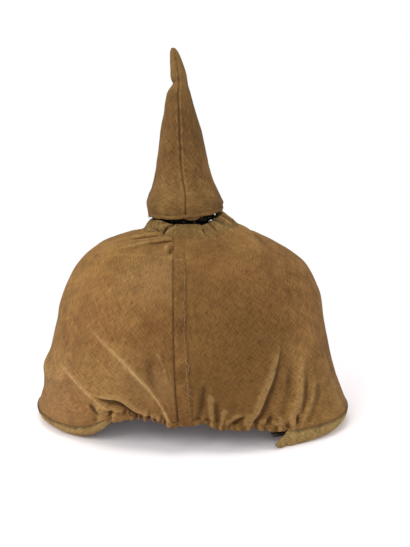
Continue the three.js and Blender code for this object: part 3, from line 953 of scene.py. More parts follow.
@dataclass(frozen=True)
class Cotton:
    """Plain-woven cotton, dyed, faded and handled, with painted shade in its hollows and painted highlight
    on its crests. Its sizes are in metres.
    """

    name: str
    pale: Colour = (0.240, 0.127, 0.042)
    deep: Colour = (0.128, 0.061, 0.019)
    stains: tuple[Stain, ...] = ()
    # The next colour is dark dirt for the specks, and also the painted shade in hollows.
    soil_and_shade: Colour = (0.060, 0.028, 0.010)
    # The next colour is the pale of rubbed cloth, and also the painted highlight on crests and fold lines.
    rubbed: Colour = (0.43, 0.27, 0.12)
    faded: Colour = (0.265, 0.155, 0.066)
    warm_tint: Colour = (0.95, 0.89, 0.84)
    green_tint: Colour = (0.93, 0.94, 0.83)
    bias: float = 45.0  # degrees from the weave to the panel's edge
    thread_pitch: float = 0.0006
    slub_width: float = 0.0015
    slub_length: float = 0.022
    yarn_width: float = 0.0009
    yarn_length: float = 0.007
    grain_width: float = 0.001
    plain_tone: float = -0.73  # brings the tone of grain, yarn and slubs back to about 1

    def make(self) -> bpy.types.Material:
        """The cotton's material."""
        recipe = Recipe(self.name)
        point = recipe.place()
        warp, weft = self._threads(recipe)
        pace = 2 * math.pi / self.thread_pitch
        weave = (warp * pace).sine() * (weft * pace).sine()
        wide, long = 1 / self.slub_width, 1 / self.slub_length
        along_warp = recipe.streaks(warp * wide, weft * long, 3, 0.6)
        along_weft = recipe.streaks(warp * long, weft * wide, 3, 0.6)
        slubs = along_warp.between(0.5, 0.78) + along_weft.between(0.5, 0.78)
        grain = recipe.streaks(warp * (1 / self.grain_width), weft * (1 / self.grain_width), 2, 0.6)
        fine, run = 1 / self.yarn_width, 1 / self.yarn_length
        yarn = recipe.streaks(warp * fine, weft * run, 2, 0.5)
        yarn = yarn + recipe.streaks(warp * run, weft * fine, 2, 0.5)
        blotches = recipe.noise(point, 85.0, 3, 0.65)
        tone = grain * 1.1 + yarn * 1.2 + slubs * 0.28 + self.plain_tone
        recipe.set(Base_Color=recipe.shade(self._colour_with_painted_light(recipe, point, blotches), tone), Roughness=0.94)
        recipe.set(Sheen_Weight=0.04, Sheen_Roughness=0.5, Sheen_Tint=(1.0, 0.8, 0.55, 1.0))
        recipe.set(Specular_IOR_Level=0.1)
        recipe.bump(weave * 0.16 + slubs * 0.5 + grain * 0.6 + blotches * 0.7, 0.0005, 0.6)
        return recipe.material

    def _threads(self, recipe: Recipe) -> tuple[Value, Value]:
        """Distances across the warp and the weft, in metres.

        Args:
            recipe: the cotton's recipe.

        Returns:
            The two distances, turned to the bias.
        """
        laid = recipe.node("ShaderNodeUVMap").outputs[0]
        turn = (0.0, 0.0, math.radians(self.bias))
        on_bias = recipe.node("ShaderNodeMapping", {}, {"Vector": laid, "Rotation": turn}).outputs[0]
        split = recipe.node("ShaderNodeSeparateXYZ", {}, {0: on_bias})
        return Value(recipe, split.outputs[0]), Value(recipe, split.outputs[1])

    def _colour_with_painted_light(self, recipe: Recipe, point: bpy.types.NodeSocket, blotches: Value) -> bpy.types.NodeSocket:
        """The cloth's colour before its threads show.

        Args:
            recipe: the cotton's recipe.
            point: the place on the cloth.
            blotches: small uneven patches, from 0 to 1.

        Returns:
            The dye with its stains, crests lightened partly by rubbing and partly by painted highlight,
            hollows darkened by painted shade, and dirt specks.
        """
        fading = recipe.noise(point, 21.0, 4, 0.6)
        specks = recipe.noise(point, 310.0, 1).between(0.72, 0.82)
        # The relief lightens crests, partly as rubbing and partly as painted highlight, and darkens hollows
        # as painted shade.
        relief = recipe.attribute("relief")
        rubbed_and_highlit = relief.between(0.04, 0.6) * 0.25 + recipe.attribute("wear_and_highlight")
        sunk = (relief * -1.0).between(0.06, 0.9)
        share = (fading + blotches * 0.6 - 0.3).between(0.12, 0.84)
        bleached = 0.0
        for stain in self.stains:
            spot = recipe.spot(point, stain.centre, stain.radius) * abs(stain.depth)
            if stain.depth > 0:
                share = share * (1 - spot)
            else:
                bleached = spot + bleached
        colour = recipe.blend(share, self.deep, self.pale)
        colour = recipe.blend(bleached, colour, self.faded)
        colour = recipe.blend(rubbed_and_highlit, colour, self.rubbed)
        # painted shade in the hollows, then dirt specks
        for shade_and_specks in (sunk * 0.8, specks * 0.2):
            colour = recipe.blend(shade_and_specks, colour, self.soil_and_shade)
        tint = recipe.noise(point, 13.0, 2).between(0.38, 0.62)
        tinted = recipe.blend(tint, self.warm_tint, self.green_tint)
        return recipe.blend(0.8, colour, tinted, "MULTIPLY")


@dataclass(frozen=True)
class Thread:
    """Spun sewing thread."""

    name: str
    colour: Colour

    def make(self) -> bpy.types.Material:
        """The thread's material."""
        recipe = Recipe(self.name)
        patch = recipe.noise(recipe.place(), 400.0, 2)
        dark = tuple(c * 0.55 for c in self.colour)
        recipe.set(Base_Color=recipe.blend(patch, dark, self.colour), Roughness=0.85)
        recipe.bump(recipe.noise(recipe.place(), 3000.0, 1), 0.0001, 0.5)
        return recipe.material


@dataclass(frozen=True)
class Leather:
    """Lacquered cowhide, finely grained and rubbed dull."""

    name: str
    colour: Colour = (0.013, 0.010, 0.008)
    rubbed: Colour = (0.045, 0.030, 0.020)

    def make(self) -> bpy.types.Material:
        """The leather's material."""
        recipe = Recipe(self.name)
        point = recipe.place()
        edges = {"feature": "DISTANCE_TO_EDGE"}
        cells = recipe.value("ShaderNodeTexVoronoi", edges, {"Vector": point, "Scale": 700.0})
        rub = recipe.noise(point, 45.0, 5, 0.65).between(0.5, 0.75)
        recipe.set(Base_Color=recipe.blend(rub, self.colour, self.rubbed))
        recipe.set(Roughness=0.34 + rub * 0.3, Coat_Weight=0.15, Coat_Roughness=0.3)
        recipe.bump(cells.between(0.0, 0.12) + rub * 0.4, 0.0003, 0.5)
        return recipe.material


@dataclass(frozen=True)
class BlackenedMetal:
    """Sheet metal, blackened, with brown where it has rubbed through."""

    name: str
    colour: Colour = (0.012, 0.011, 0.010)
    rubbed: Colour = (0.10, 0.065, 0.035)

    def make(self) -> bpy.types.Material:
        """The metal's material."""
        recipe = Recipe(self.name)
        point = recipe.place()
        rub = recipe.noise(point, 160.0, 4, 0.6).between(0.56, 0.8)
        recipe.set(Base_Color=recipe.blend(rub, self.colour, self.rubbed))
        recipe.set(Metallic=0.35, Roughness=0.22 + rub * 0.4)
        recipe.bump(recipe.noise(point, 900.0, 2), 0.0001, 0.3)
        return recipe.material


def dress(piece: bpy.types.Object, material: bpy.types.Material) -> None:
    """Gives a piece one material all over."""
    piece.data.materials.clear()
    piece.data.materials.append(material)


def settle(piece: bpy.types.Object, material: bpy.types.Material, slot: str, *replaces: str) -> None:
    """Dresses a finished piece and places it on the helmet's one body.

    Args:
        piece: the finished piece.
        material: its finish.
        slot: the record's material slot of its finish; not used.
        *replaces: the frame's nodes that it stands for.
    """
    dress(piece, material)
    if replaces:
        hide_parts(*replaces)
    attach(piece, "root")
    LOG.info("%s: %d faces", piece.name, len(piece.data.polygons))


# ------------------------------------------------------------ crown cover


LOOSE_THREADS = [
    # start rise, length in rise, sway in seam widths
    (0.41, 0.115, 0.11),
    (0.40, 0.06, 0.17),
    (0.27, 0.055, 0.13),
    (0.625, 0.012, 0.05),
]

FRONT_BAND = table(
    # degrees from the visor's middle, roll z, lip z, highest top z, width
    (0, 5.0, 0, 99, 15),
    (18, 4.4, 0, 99, 15),
    (28, 2.3, 0, 99, 15),
    (38, 1.2, 0, 99, 15),
    (44, 0.6, 0, 99, 14),
    (46.5, 0.4, 0, 99, 12),
    (47.5, 0.4, 0, 12.4, 10),
    (48.7, 0.4, 0, 10.6, 7.5),
    (50, 0.4, 0.1, 8.8, 5),
    (51.2, 0.8, 0.7, 7.4, 3.2),
    (52, 1.6, 1.8, 6.3, 2.2),
    (52.8, 3.2, 3.2, 4.9, 1.4),
)

REAR_BAND = table(
    # degrees from the visor's middle, roll z, lip z, highest top z, width
    (0, 5.0, 0, 99, 15),
    (20, 4.6, 0, 99, 15),
    (30, 4.1, 0.1, 99, 14),
    (37, 5.2, 1.4, 99, 13),
    (43, 8.9, 5.2, 99, 11),
    (49, 15.5, 12.5, 99, 8),
    (53, 21.5, 19.5, 99, 6),
    (56, 25.5, 24.0, 99, 5),
)

EAR_HEM = table(
    # out and up from the panels' edge, from inside round to outside
    (-1.4, 2.6),
    (-1.9, 1.0),
    (-1.8, -0.8),
    (-1.0, -2.3),
    (0.0, -2.6),
    (0.8, -1.8),
    (1.1, -0.4),
    (1.0, 0.9),
    (0.6, 2.0),
)


@dataclass
class CrownCover:
    """The two-panel cover of the crown with its seams, hems and bands."""

    form: CoverForm
    cotton: bpy.types.Material
    seam_cotton: bpy.types.Material
    band_cotton: bpy.types.Material
    pale_thread: bpy.types.Material
    dark_thread: bpy.types.Material
    panel_faces: tuple[int, int] = (290, 160)
    panel_wall: float = 1.0
    seam_faces: tuple[int, int] = (18, 230)
    seam_wall: float = 1.0
    seam_top: float = 0.962  # the rise at which it ends
    seam_covered: float = 0.775  # the rise above which it lies under another ply
    seam_lift: tuple[float, float] = (1.25, 1.0)  # of its rear edge and its front edge
    covered_lift: tuple[float, float] = (1.1, 0.15)  # the same where it is covered
    stitch_line: float = 0.86  # share of the seam's width from its rear edge
    stitch_rises: tuple[float, float] = (0.05, 0.77)
    seam_thread_radius: float = 0.13
    hem_faces: tuple[int, int] = (190, 18)
    hem_wall: float = 0.7
    hem_ends: tuple[float, float] = (46.5, 128.5)  # degrees from the front
    band_faces: tuple[int, int] = (220, 26)
    band_wall: float = 0.8
    band_radius: float = 118.0  # of a visor's edge, for the band's length
    whip_radius: float = 0.19

    def build(self) -> None:
        """Makes every piece of the crown cover."""
        for name, is_front in (("cover_front_panel", True), ("cover_rear_panel", False)):
            self.panel(name, is_front)
        for name, side in (("right", RIGHT), ("left", LEFT)):
            self.felled_seam(name, side)
            self.seam_stitches(name, side)
            self.ear_hem(name, side)
        self.visor_band("front_visor_band", 0.0, 52.8, FRONT_BAND)
        self.visor_band("rear_visor_band", 180.0, 56.0, REAR_BAND)
        self.whip_stitches("front_whip_stitches", 0.0, 46.6)
        self.whip_stitches("rear_whip_stitches", 180.0, 48.0)

    def panel(self, name: str, is_front: bool) -> None:
        """One panel, from the hems to the neck and from seam to seam.

        Args:
            name: the frame's node that it stands for.
            is_front: whether it is the front panel.
        """
        form = self.form

        def surface(across: Array, up: Array) -> tuple[Array, Array, Array]:
            """Points, heights and lighter lines, partly rubbed and partly painted highlight, with more
            columns near the seams.
            """
            rise = mix(form.hem_rise, form.neck_rise, up)
            right = form.seam_middle(rise)
            ends = (right, -right) if is_front else (-right, right + 360)
            angle = mix(*ends, mix(across, ease(across), 0.4))
            height, wear_and_highlight = form.folded(angle, rise)
            return form.lifted(angle, rise, height), height, wear_and_highlight

        piece = cloth_sheet("crown_" + name, surface, self.panel_faces, self.panel_wall, (340.0, 195.0))
        settle(piece, self.cotton, "cover_cloth", name)

    def _seam_angle(self, share: Array, rise: Array, side: int) -> Array:
        """The angle across a side seam, share from its rear edge to its front."""
        rear_x, front_x = columns(SEAM_LINE, rise)
        wander = 0.25 * np.sin(rise * 21) + 0.15 * np.sin(rise * 47 + 1)
        return -side * self.form.angle_at_x(mix(rear_x, front_x, share) + wander, rise)

    def _on_seam(self, share: Array, rise: Array, side: int, lift: Array) -> Array:
        """Points on a side seam, so far across and up and lifted off it."""
        return self.form.surface(self._seam_angle(share, rise, side), rise, lift)

    def felled_seam(self, name: str, side: int) -> None:
        """The flat strip of a side seam, folded along its rear edge.

        Args:
            name: the side's name.
            side: RIGHT or LEFT.
        """
        form = self.form

        def surface(across: Array, up: Array) -> tuple[Array, Array]:
            """Points and heights, higher at the fold and sunk along the stitches."""
            rise = mix(form.hem_rise - 0.012, self.seam_top, up)
            share = across if side == RIGHT else 1 - across
            point = form.base(self._seam_angle(share, rise, side), rise)
            covered = ease((rise - self.seam_covered) / 0.02)
            wrinkle = crumple(point * np.array([0.5, 1, 1]), (0.13, 11, 21))
            lift = mix(*self.seam_lift, share) + wrinkle - 0.3 * bell(share, 1 / 9)
            lift = lift - 0.22 * bell(share - self.stitch_line, 1 / 12) * (1 - covered)
            lift = mix(lift, mix(*self.covered_lift, ease(share)), covered)
            return self._on_seam(share, rise, side, lift), lift * 2.2

        laid = (10.0, 180.0)
        piece = cloth_sheet(f"{name}_felled_seam_strip", surface, self.seam_faces, self.seam_wall, laid)
        settle(piece, self.seam_cotton, "cover_cloth", f"{name}_felled_seam")

    def seam_stitches(self, name: str, side: int) -> None:
        """Running stitches near a seam's front edge, with a few loose ends.

        Args:
            name: the side's name.
            side: RIGHT or LEFT.
        """
        draw = np.random.default_rng(31 + side)
        paths = []
        rise, last = self.stitch_rises
        while rise < last:
            length = draw.uniform(1.5, 2.4) / self.form.travel
            share = self.stitch_line + draw.uniform(-0.03, 0.03)
            steps = np.linspace(rise, rise + length, 4)
            arch = 1.32 + np.array([-0.15, 0.22, 0.22, -0.15])
            paths.append(self._on_seam(np.full(4, share), steps, side, arch))
            rise += length + draw.uniform(0.5, 0.9) / self.form.travel
        for start, length, sway in LOOSE_THREADS:
            steps = np.linspace(0, 1, 26)
            share = 0.97 + sway * np.sin(steps * 9 + start * 40) + draw.uniform(-0.03, 0.03, 26)
            lift = 1.6 + 0.35 * np.sin(steps * 14)
            paths.append(self._on_seam(share, start - length * steps, side, lift))
        piece = thread_mesh(f"{name}_seam_stitches", paths, self.seam_thread_radius)
        settle(piece, self.pale_thread, "cover_cloth")

    def _edge(self, angle: Array) -> tuple[Array, Array]:
        """The panels' lower edge.

        Args:
            angle: degrees round from the front.

        Returns:
            Points on the edge, and the level way outwards from each.
        """
        rise = np.full_like(angle, self.form.hem_rise)
        out = self.form.normal(angle, rise)
        out[..., 2] = 0
        return self.form.surface(angle, rise), out / np.linalg.norm(out, axis=-1, keepdims=True)

    def ear_hem(self, name: str, side: int) -> None:
        """The ruffled hem that binds the lower edge over one ear.

        Args:
            name: the side's name.
            side: RIGHT or LEFT.
        """
        front, rear = self.hem_ends
        start, end = (-rear, -front) if side == RIGHT else (front, rear)

        def surface(across: Array, up: Array) -> tuple[Array, Array]:
            """Points and heights, crimped and scalloped below the edge."""
            angle = mix(start, end, across)
            edge, out = self._edge(angle)
            reach, height = columns(EAR_HEM, up)
            level = edge * np.array([1, 1, 0])
            crimp = crumple(level, (0.3, 6, 71), (0.2, 3.2, 72))
            scallop = crumple(level, (0.55, 9, 73), (0.25, 4.5, 74))
            low = ease((2.2 - height) / 3.5)
            slim = mix(0.35, 1.0, ease((np.abs(angle) - front) / 3.5))
            made = edge + out * (reach + crimp * low)[..., None]
            made[..., 2] += (height + scallop * low) * slim
            return made, crimp * 1.6

        piece = cloth_sheet(f"{name}_ear_hem_roll", surface, self.hem_faces, self.hem_wall, (125.0, 12.0))
        settle(piece, self.cotton, "cover_cloth", f"{name}_ear_hem")

    def visor_band(self, name: str, middle: float, spread: float, levels: Array) -> None:
        """The cloth turned under a visor's edge, down to what it rests on.

        Args:
            name: the frame's node that it stands for.
            middle: the visor's middle, 0 in front or 180 behind.
            spread: degrees to each side of it.
            levels: the band's heights and width over that spread.
        """
        is_front = middle == 0

        def surface(across: Array, up: Array) -> tuple[Array, Array]:
            """Points and heights, rolled under and creased."""
            away = mix(-spread, spread, across)
            edge, out = self._edge(middle + away)
            side = np.abs(away)
            roll, lip, top, width = (read(levels, side, k) for k in (1, 2, 3, 4))
            top = np.minimum(edge[..., 2] - 0.1, top)
            hang = top - roll
            plump = 1.5 * ease((side - 47) / 3) * is_front
            path = [
                # out from the edge, height, from the lip's end to the seam
                (-width, lip + 1.2),
                (-0.78 * width, lip + 0.1),
                (-0.52 * width, lip + 0.05),
                (-0.3 * width, mix(lip, roll, 0.45)),
                (-0.14 * width, mix(lip, roll, 0.9)),
                (plump - 0.7, roll + 0.2 * hang),
                (plump + 0.1, roll + 0.55 * hang),
                (0.6 * plump + 0.1, roll + 0.82 * hang),
                (-0.35, top),
            ]
            points = np.stack([np.stack(np.broadcast_arrays(a, b, up)[:2], -1) for a, b in path])
            rows, t = four_rows(up, len(path) - 1)
            section = spline([points[row, np.arange(len(up))] for row in rows], t)
            crease = crumple(edge, (0.3, 14, 41), (0.2, 5, 42)) * ease((up - 0.4) * 3)
            made = edge + out * (section[:, 0] + crease)[:, None]
            made[..., 2] = np.maximum(section[:, 1], 0.05)
            return made, crease

        width = 2 * math.radians(spread) * self.band_radius
        piece = cloth_sheet(name + "_fold", surface, self.band_faces, self.band_wall, (width, 24.0))
        settle(piece, self.band_cotton, "band_cloth", name)

    def whip_stitches(self, name: str, middle: float, spread: float) -> None:
        """Slanted stitches over the edge where panel and band meet.

        Args:
            name: the piece's name.
            middle: the visor's middle, 0 in front or 180 behind.
            spread: degrees to each side of it.
        """
        draw = np.random.default_rng(5)
        paths = []
        angle = middle - spread
        while angle < middle + spread:
            edge, out = self._edge(np.array([angle, angle + 0.25, angle + 0.5]))
            points = edge + out * np.array([[0.25], [0.55], [0.35]])
            points[:, 2] += np.array([1.1, 0.0, -1.3]) + draw.uniform(-0.2, 0.2)
            inner = points[[0, -1]] - out[[0, -1]] * 0.5
            paths.append(np.concatenate([inner[:1], points, inner[1:]]))
            angle += draw.uniform(0.75, 1.05)
        piece = thread_mesh(name, paths, self.whip_radius)
        settle(piece, self.dark_thread, "cover_cloth")


# -------------------------------------------------------------- neck casing


@dataclass
class NeckCasing:
    """The gathered collar that stands round the spike's neck."""

    form: CoverForm
    cotton: bpy.types.Material
    faces: tuple[int, int] = (420, 34)
    wall: float = 0.7
    centre_x: float = -3.2
    outside_share: float = 0.62  # of the cloth's width, the rest being folded in
    pleat_waves: int = 14  # half as many as the pleats round it
    fine_waves: int = 33  # the same for the small ripples on them
    slit_angle: float = -70.5  # of the open gather in front of the right seam
    tuck_angles: tuple[float, float] = (-129.0, -112.0)  # at its foot and at its top edge

    TOP = table(
        # angle, radius of the top edge, its height
        (-180, 29.3, 164.6),
        (-152, 30.4, 165.2),
        (-132, 31.0, 165.8),
        (-118, 29.8, 163.6),
        (-102, 30.2, 163.8),
        (-76, 30.4, 163.9),
        (-66, 29.6, 162.6),
        (-44, 30.0, 165.6),
        (-26, 29.0, 168.6),
        (-4, 27.4, 171.9),
        (14, 28.0, 171.2),
        (34, 29.4, 165.2),
        (48, 30.4, 160.4),
        (72, 30.6, 159.6),
        (92, 30.4, 162.2),
        (132, 30.2, 164.0),
        (180, 29.3, 164.6),
    )

    def _gathers(self, angle: Array, up: Array) -> Array:
        """How far the gathers stand out or in.

        Args:
            angle: degrees round from the front.
            up: from 0 at the foot to 1 at the top edge.

        Returns:
            Heights in millimetres.
        """
        turn = turned(angle)
        warped = turn + 3.0 * np.sin(np.radians(turn * 5)) + 1.6 * np.sin(np.radians(turn * 13))
        pleats = np.abs(np.sin(np.radians(warped * self.pleat_waves))) - 0.6
        fine = np.abs(np.sin(np.radians(warped * self.fine_waves + 40))) - 0.6
        front = ease((turn + 62) / 10) * ease((30 - turn) / 30)
        rear = ease((-118 - turn) / 12) + ease((turn - 30) / 20)
        calm = 0.35 + 1.5 * front + 0.9 * rear
        lumps = (front + 0.7 * rear) * 1.7 * ripples(ring_points(turn, 30, 0 * turn), 9, 81)
        lumps = lumps * mix(0.4, 1.0, up)
        slit = -2.6 * bell(turn - self.slit_angle, 1.1) * ease((0.62 - up) / 0.2)
        tuck_line = mix(*self.tuck_angles, up)
        tuck = 1.6 * bell(turn - tuck_line + 8, 4.5) - 4.2 * bell(turn - tuck_line, 2.6)
        return pleats * calm + fine * 0.35 + lumps + slit + tuck

    def build(self) -> None:
        """Makes the casing, folded over at its top."""

        def surface(across: Array, up: Array) -> tuple[Array, Array]:
            """Points and heights, up the outside, over the top and down inside."""
            angle = across * 360
            outside = np.clip(up / self.outside_share, 0, 1)
            inside = np.clip((up - 0.7) / 0.3, 0, 1)
            over = ease((up - 0.6) / 0.12)
            rear = ease((np.abs(turned(angle)) - 112) / 22)
            foot_rise = 0.948 + 0.01 * ease((np.abs((angle + 5) % 360 - 265) - 20) / 30) + 0.032 * rear
            foot = self.form.surface(angle, foot_rise, 0.12 + 0.25 * rear)
            turn = turned(angle)
            top_z = read(self.TOP, turn, 2)
            top = ring_points(angle, read(self.TOP, turn, 1), top_z, self.centre_x)
            made = mix(foot, top, (outside**0.8)[..., None])
            gathers = self._gathers(angle, outside) * ease(outside * 2.5)
            rise = 0.7 * np.sin(outside * math.pi) + 0.5 * np.sin(over * math.pi)
            rise += 0.3 * gathers * ease(outside) - inside * (top_z - foot[..., 2]) * 0.6
            return made + ring_points(angle, gathers - 2.0 * over, rise), gathers

        piece = cloth_sheet("gathered_neck_casing", surface, self.faces, self.wall, (215.0, 22.0), loop=True)
        settle(piece, self.cotton, "cover_cloth", "neck_casing")


# -------------------------------------------------------------- spike cover


@dataclass
class SpikeCover:
    """The separate cover of the spike, with its two seams and its hem."""

    cotton: bpy.types.Material
    thread: bpy.types.Material
    cone_faces: tuple[int, int] = (200, 170)
    cone_wall: float = 1.0
    hem_faces: tuple[int, int] = (240, 14)
    hem_wall: float = 0.7
    fray_radius: float = 0.11
    crumple_radius: float = 30.0  # of the ring on which the hem's ripples are worked out
    kink_height: float = 273.0  # at the rear, where the tip bends
    dent_place: tuple[float, float] = (-98.0, 262.0)  # its angle and height
    sag_height: float = 186.0  # where the cone sags most in front
    hang_angle: float = 282.0  # where the hem's inner ply hangs lowest

    RINGS = table(
        # centre x, radius, height
        (-4.9, 30.3, 173.5),
        (-5.3, 31.5, 180),
        (-5.0, 30.4, 185.5),
        (-5.1, 27.9, 190.5),
        (-6.6, 23.8, 200),
        (-7.4, 21.2, 210),
        (-7.7, 18.6, 224),
        (-8.5, 16.0, 238.5),
        (-9.4, 12.4, 253),
        (-10, 9.6, 264.5),
        (-9.4, 6.9, 272),
        (-10.4, 6.3, 281),
        (-12, 5, 290),
        (-13.6, 3.2, 298),
        (-14.4, 0.6, 301),
    )
    FOOT = table(
        # angle, height of the hem's lower edge
        (-180, 167.6),
        (-120, 167.5),
        (-90, 168.4),
        (-60, 169.9),
        (-30, 171.6),
        (0, 172.8),
        (60, 170.4),
        (120, 168.6),
        (180, 167.6),
    )
    SEAM = table(
        # height, angle of the right seam
        (160, -88),
        (182, -88.5),
        (200, -90.5),
        (229, -93),
        (253, -92),
        (272, -91),
        (286, -86),
        (301, -80),
    )
    HEM = table(
        # out from the cone's foot, height above the lower edge
        (-2.1, 3.6),
        (-2.3, 2.0),
        (-1.9, 0.6),
        (-0.9, 0.0),
        (0.2, 0.6),
        (0.55, 1.8),
        (0.5, 3.2),
    )

    def _foot(self, angle: Array) -> Array:
        """Height of the hem's lower edge at each angle."""
        return read(self.FOOT, turned(angle))

    def _creases(self, angle: Array, z: Array, radius: Array) -> Array:
        """Seams, the kink below the tip and a soft dent.

        Args:
            angle: degrees round from the front.
            z: heights.
            radius: the cone's radius there.

        Returns:
            How far the cloth stands out or in, in millimetres.
        """
        turn = turned(angle)
        line = read(self.SEAM, z)
        made = np.zeros_like(z)
        for seam in (line, line + 180):
            across = np.radians(turned(turn - seam)) * radius
            made += 0.4 * bell(across - 1.5, 0.9) + 0.25 * bell(across + 1.8, 1.2) - 0.9 * bell(across, 0.75)
        across = np.radians(turned(turn + 180)) * radius
        kink = z - self.kink_height - 0.35 * across
        dent = np.hypot((turn - self.dent_place[0]) * 0.12, (z - self.dent_place[1]) / 4)
        return made - 1.7 * bell(kink, 2.6) * bell(across, 9) - 0.8 * bell(dent, 1)

    def build(self) -> None:
        """Makes the cone, its hem and its frayed end."""
        self.cone()
        self.hem()
        self.frays()

    def cone(self) -> None:
        """The tall cone of cloth down to its hem."""
        low = self.RINGS[0][2]

        def surface(across: Array, up: Array) -> tuple[Array, Array]:
            """Points and heights, sagging in front and uneven at the foot."""
            angle = across * 360
            centre, radius, z = columns(self.RINGS, up**1.15)
            sag = 4.5 * bell(z - self.sag_height, 12) * np.clip(np.cos(np.radians(angle)), 0, 1)
            slack = ease((z - low) / 14)
            z = z + (self._foot(angle) + 2.6 - low) * (1 - slack) - sag * slack
            rough = crumple(ring_points(angle, radius, z, centre), (0.32, 30, 51), (0.12, 9, 52))
            height = self._creases(angle, z, radius) + rough * ease(radius / 8)
            return ring_points(angle, np.maximum(radius + height, 0.3), z, centre), height

        piece = cloth_sheet(
            "spike_cover_cone", surface, self.cone_faces, self.cone_wall, (130.0, 140.0), loop=True
        )
        settle(piece, self.cotton, "cover_cloth", "spike_cover")

    def hem(self) -> None:
        """The narrow turned hem at the foot of the cone."""
        centre, radius, _ = self.RINGS[0]

        def surface(across: Array, up: Array) -> tuple[Array, Array]:
            """Points and heights, crimped, with its inner ply hanging on the right."""
            angle = across * 360
            out, height = columns(self.HEM, up)
            ring = ring_points(angle, self.crumple_radius, 0 * angle)
            crimp = crumple(ring, (0.3, 7, 61), (0.35, 20, 62))
            z = self._foot(angle) + height + crumple(ring, (0.25, 11, 63))
            hanging = np.exp(-(((angle - self.hang_angle) / 13) ** 4))
            z = z - 3.0 * hanging * ease((-1.4 - out) / 0.6) * ease((3.8 - height) / 0.8)
            return ring_points(angle, radius + out + crimp, z, centre), crimp

        piece = cloth_sheet(
            "spike_cover_turned_hem", surface, self.hem_faces, self.hem_wall, (185.0, 10.0), loop=True
        )
        settle(piece, self.cotton, "cover_cloth", "spike_cover_hem")

    def frays(self) -> None:
        """A tuft of loose yarn ends at the rear of the hem."""
        draw = np.random.default_rng(17)
        centre, radius, _ = self.RINGS[0]
        steps = np.linspace(0, 1, 6)
        paths = []
        for angle in draw.uniform(-176, -128, 9):
            length = draw.uniform(1.4, 3.0)
            bend = draw.uniform(-6, 6) * steps**2
            z = self._foot(np.full(6, angle)) + 0.8 - length * steps * draw.uniform(0.2, 0.9)
            paths.append(ring_points(angle + bend, radius + 0.2 + 0.6 * length * steps, z, centre))
        piece = thread_mesh("spike_cover_frays", paths, self.fray_radius)
        settle(piece, self.thread, "cover_cloth")


# ----------------------------------------------------- leather and metal


@dataclass
class LeatherHelmet:
    """The helmet inside: skull, visors and the metal on the crown."""

    leather: bpy.types.Material
    metal: bpy.types.Material

    def build(self) -> None:
        """Gives the carried-over pieces their finishes."""
        for name in ("leather_skull", "front_visor", "rear_visor"):
            dress(bpy.data.objects[name], self.leather)
        for name in ("spike_base", "pearl_ring", "spike"):
            dress(bpy.data.objects[name], self.metal)


# ------------------------------------------------------------------- studio


@dataclass
class Studio:
    """Pale floor, soft lights and the camera."""

    camera_place: tuple[float, float, float] = (0.010863, -0.680, 0.240)
    camera_pitch: float = 10.026
    lens: float = 54.87
    ambient: float = 0.41
    floor_radius: float = 8.0
    floor_fade: tuple[float, float] = (0.17, 0.34)  # metres out over which it turns white

    LIGHTS = [
        # name, place and aim in metres, side in metres, watts
        ("key", (-0.8, -1.2, 1.1), (0, 0, 0.1), 0.8, 12.5),
        ("top", (-0.1, 0.0, 1.5), (0, 0, 0), 1.1, 12),
        ("front", (0.1, -1.3, 0.72), (0, 0, 0.03), 0.5, 5),
        ("left side", (-1.3, -0.1, 0.4), (0, 0, 0.1), 0.8, 6.5),
        ("right side", (1.3, -0.1, 0.5), (0, 0, 0.1), 0.8, 5),
    ]

    def build(self) -> None:
        """Makes the camera, the floor, the surroundings and the lights."""
        self.camera()
        self.floor()
        self.world()
        for row in self.LIGHTS:
            self.softbox(*row)
        bpy.context.scene.view_settings.view_transform = "Standard"

    def camera(self) -> None:
        """A camera that looks along +Y and a little down."""
        data = bpy.data.cameras.new("camera")
        data.lens = self.lens
        data.clip_start = 0.01
        item = bpy.data.objects.new("camera", data)
        item.location = self.camera_place
        item.rotation_euler = (math.radians(90 - self.camera_pitch), 0, 0)
        bpy.context.scene.collection.objects.link(item)
        bpy.context.scene.camera = item

    def floor(self) -> None:
        """A wide white floor that fades into the white round it."""
        deselect()
        bpy.ops.mesh.primitive_circle_add(
            vertices=96, radius=self.floor_radius, fill_type="NGON", location=(0, 0, 0)
        )
        floor = bpy.context.object
        floor.name = "studio_floor"
        recipe = Recipe("white_floor")
        recipe.set(Base_Color=(0.9, 0.87, 0.88, 1.0), Roughness=0.9, Specular_IOR_Level=0.0)
        recipe.set(Emission_Color=(1.0, 0.86, 0.88, 1.0), Emission_Strength=0.07)
        away = recipe.value("ShaderNodeVectorMath", {"operation": "LENGTH"}, {0: recipe.place()}, output=1)
        glow = recipe.node("ShaderNodeEmission", {}, {"Color": (1, 1, 1, 1), "Strength": 1.0})
        inputs = {0: away.between(*self.floor_fade), 1: recipe.shader.outputs[0], 2: glow.outputs[0]}
        joined = recipe.node("ShaderNodeMixShader", {}, inputs)
        recipe.feed(recipe.tree.nodes["Material Output"].inputs[0], joined.outputs[0])
        dress(floor, recipe.material)

    def world(self) -> None:
        """White surroundings that also fill the shadows."""
        world = bpy.data.worlds.new("white_room")
        world.use_nodes = True
        tree = world.node_tree
        plain = tree.nodes["Background"]
        plain.inputs[0].default_value = (1, 1, 1, 1)
        seen = tree.nodes.new("ShaderNodeLightPath")
        strength = tree.nodes.new("ShaderNodeMix")
        strength.inputs[2].default_value = self.ambient
        strength.inputs[3].default_value = 1.0
        tree.links.new(seen.outputs["Is Camera Ray"], strength.inputs[0])
        tree.links.new(strength.outputs[0], plain.inputs[1])
        bpy.context.scene.world = world

    def softbox(
        self, name: str, place: Sequence[float], aim: Sequence[float], size: float, power: float
    ) -> None:
        """A square soft light.

        Args:
            name: its name.
            place: where it stands, in metres.
            aim: the point it faces.
            size: its side in metres.
            power: in watts.
        """
        data = bpy.data.lights.new(name, "AREA")
        data.size = size
        data.energy = power
        item = bpy.data.objects.new(name, data)
        item.location = place
        item.rotation_euler = (Vector(aim) - Vector(place)).to_track_quat("-Z", "Y").to_euler()
        bpy.context.scene.collection.objects.link(item)


# ------------------------------------------------------------ the whole scene


